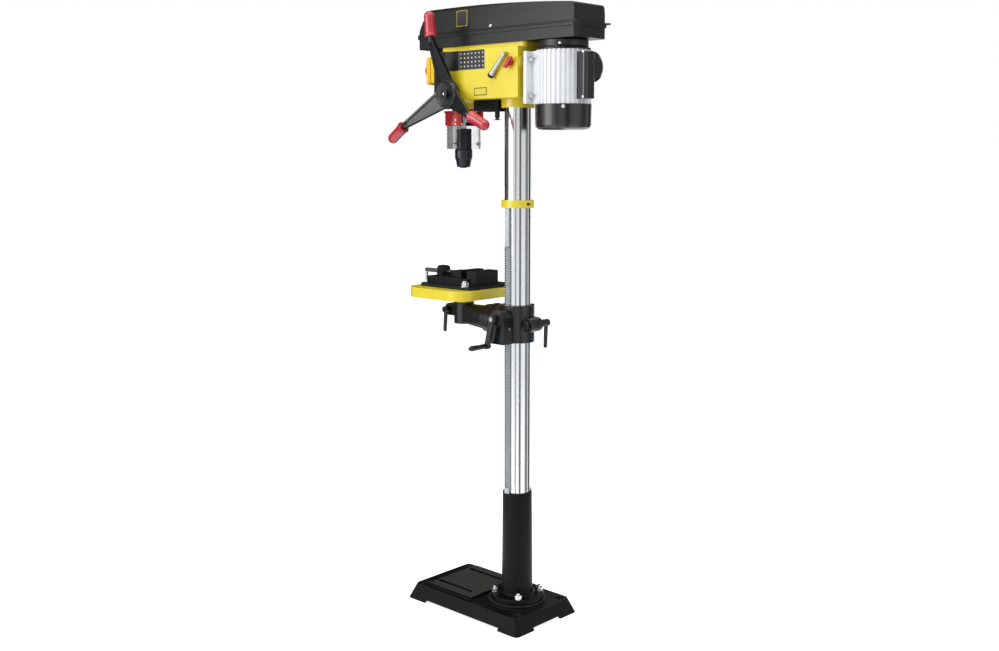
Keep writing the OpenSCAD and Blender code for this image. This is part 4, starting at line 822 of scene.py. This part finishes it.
# Polycarbonate sheet: clear and lightly smoked, with a faint ripple from the moulding.
clear_sheet, tree, shader = start_finish(
    "clear_polycarbonate",
    **{"IOR": 1.45, "Transmission Weight": 1.0, "Specular IOR Level": 0.6},
)
spot = put(tree, "ShaderNodeTexCoord", {})
ripple = put(
    tree, "ShaderNodeTexNoise", {"Vector": spot.outputs["Object"], "Scale": 60.0, "Detail": 1}
)
smoke = put(
    tree,
    "ShaderNodeMix",
    {0: ripple.outputs["Fac"], 6: linear("#9a9a9a"), 7: linear("#868686")},
    data_type="RGBA",
)
tree.links.new(smoke.outputs[2], shader.inputs["Base Color"])
scuff = put(
    tree,
    "ShaderNodeMapRange",
    {"Value": ripple.outputs["Fac"], 1: 0.3, 2: 0.7, 3: 0.05, 4: 0.12},
)
tree.links.new(scuff.outputs[0], shader.inputs["Roughness"])
moulded = put(
    tree,
    "ShaderNodeBump",
    {"Strength": 0.1, "Distance": 0.0002, "Height": ripple.outputs["Fac"]},
)
tree.links.new(moulded.outputs[0], shader.inputs["Normal"])
dress(clear_sheet, "guard_shield")
rivet = dome_screw(0.0024, 0.0016)
spindle_back, band_radius = -0.101, 0.0497
for number, (angle, high) in enumerate(((20, 1.3405), (20, 1.3300), (40, 1.3300))):
    turn = math.radians(angle)
    again(
        rivet,
        (band_radius * math.cos(turn), spindle_back + band_radius * math.sin(turn), high),
        (math.cos(turn), math.sin(turn), 0),
        f"band_rivet_{number + 1}",
        zinc_plate,
        "guard",
    )

# Belt pan and cover: a pressed steel pan below and a moulded lid above, both satin black.
# The lid's latch screw is plated, and a bare plate in a thin yellow rim is stuck on its side.
# Under the lid, rubber V-belts run on three turned aluminium step pulleys.

# Stove enamel on sheet steel: satin black and nearly flat.
pan_enamel = machine_enamel(
    "black_stove_enamel",
    "#0e0f11",
    "#131417",
    0.36,
    swell=0.05,
    edge=0.0012,
    pebble=0.00005,
    # Grey on the edges: wear and a painted highlight.
    edge_wear_and_highlight="#34363b",
    **{"Specular IOR Level": 0.4},
)
dress(pan_enamel, "belt_pan")
# Moulded ABS: satin black with rounded edges and a fine grain.
cover_plastic = moulding(
    "black_cover_plastic",
    "#0e0f11",
    0.36,
    grain=0.0012,
    edge=0.004,
    **{"Specular IOR Level": 0.4},
)
dress(cover_plastic, "belt_cover")
place, normal = touch("belt_cover", (0.3, 0.0578, 1.5754), (-1, 0, 0))
again(dome, place, normal, "cover_screw", zinc_plate, "cover")
side_plate(
    "cover_badge_plate",
    "belt_cover",
    (-0.0658, 1.582),
    (-0.0269, 1.622),
    0.0009,
    plate_gold,
    plate_film,
    "cover",
)
# Turned aluminium: pale, with fine rings round it.
pulley_alloy = bright_metal("turned_aluminium", "#c3c6c8", 0.32, (60, 60, 1500))
dress(pulley_alloy, "spindle_pulley", "idler_pulley", "motor_pulley")
# Rubber: matt black.
belt_rubber = moulding("belt_rubber", "#0e0e0e", 0.7)
dress(belt_rubber, "front_belt", "rear_belt")

# Motor: a ribbed aluminium frame in white paint, its foot bolted to the plate of two
# chromed slide bars, with a black enamelled bell, and a fan cowl and a terminal box moulded
# in glossy black; plated screws hold the bell, the cowl and the box.

# Sprayed paint on extruded aluminium: clean white, with a low gloss on the ribs.
motor_paint = machine_enamel(
    "white_motor_paint", "#ebecee", "#e6e8ea", 0.38, edge=0.0006, swell=0.05, pebble=0.00004
)
dress(motor_paint, "motor_frame")
dress(chrome_plate, "slide_bars")
dress(shaft_steel, "motor_rotor")
# Enamel on a die-cast bell: soft black.
bell_enamel = machine_enamel("black_motor_enamel", "#17181a", "#1f2023", 0.36)
dress(bell_enamel, "motor_bell")
# Moulded plastic with a light coat of gloss on the cowl, and more on the box.
cowl_plastic = moulding(
    "black_cowl_plastic", "#131416", 0.3, edge=0.002, **{"Coat Weight": 0.3}
)
dress(cowl_plastic, "fan_cowl")
box_plastic = moulding(
    "glossy_black_box_plastic",
    "#131417",
    0.2,
    edge=0.002,
    **{"Coat Weight": 0.6, "Coat Roughness": 0.06},
)
dress(box_plastic, "terminal_box")

bpy.ops.mesh.primitive_cylinder_add(
    vertices=6, radius=0.0074, depth=0.0055, location=(0, 0, 0.00425)
)
bolt = bpy.context.object
faces_where(bolt, lambda centre, normal: normal.z > 0.9)
bpy.ops.mesh.inset(thickness=0.0008)
bpy.ops.transform.translate(value=(0, 0, 0.0007))
bpy.ops.object.mode_set(mode="OBJECT")
bpy.ops.mesh.primitive_cylinder_add(
    vertices=32, radius=0.0082, depth=0.0016, location=(0, 0, 0.0008)
)
washer = bpy.context.object
faces_where(washer, lambda centre, normal: normal.z > 0.9)
bpy.ops.mesh.bevel(offset=0.0004, segments=2, affect="EDGES")
bpy.ops.object.mode_set(mode="OBJECT")
bolt.select_set(True)
washer.select_set(True)
bpy.context.view_layer.objects.active = bolt
bpy.ops.object.join()
bpy.ops.object.transform_apply(location=True, rotation=False, scale=False)
foot_thick, bolt_aside = 0.009, 0.056
foot_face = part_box("motor_frame")[0].y + foot_thick
for number, (side, high) in enumerate(((-1, 1.394), (1, 1.394), (-1, 1.484), (1, 1.484))):
    again(
        bolt,
        (side * bolt_aside, foot_face, high),
        (0, 1, 0),
        f"motor_foot_bolt_{number + 1}",
        zinc_plate,
        "carriage",
    )
put_away(bolt)

small = dome_screw(0.0034, 0.0022)
for number, high in enumerate((1.4965, 1.3885)):
    place, normal = touch("terminal_box", (0.3, 0.339, high), (-1, 0, 0))
    again(small, place, normal, f"box_screw_{number + 1}", zinc_plate, "carriage")
put_away(small)

motor_axis = 0.252
for number, (angle, out, high, lean) in enumerate(
    (
        (32, 0.0652, 1.5190, 1.0),
        (212, 0.0652, 1.5190, 1.0),
        (40, 0.0706, 1.3660, 0.0),
        (220, 0.0706, 1.3660, 0.0),
    )
):
    turn = math.radians(angle)
    again(
        dome,
        (out * math.cos(turn), motor_axis + out * math.sin(turn), high),
        (math.cos(turn), math.sin(turn), lean),
        f"motor_screw_{number + 1}",
        zinc_plate,
        "carriage",
    )
put_away(grub)
put_away(rivet)
put_away(dome)

low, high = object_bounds()
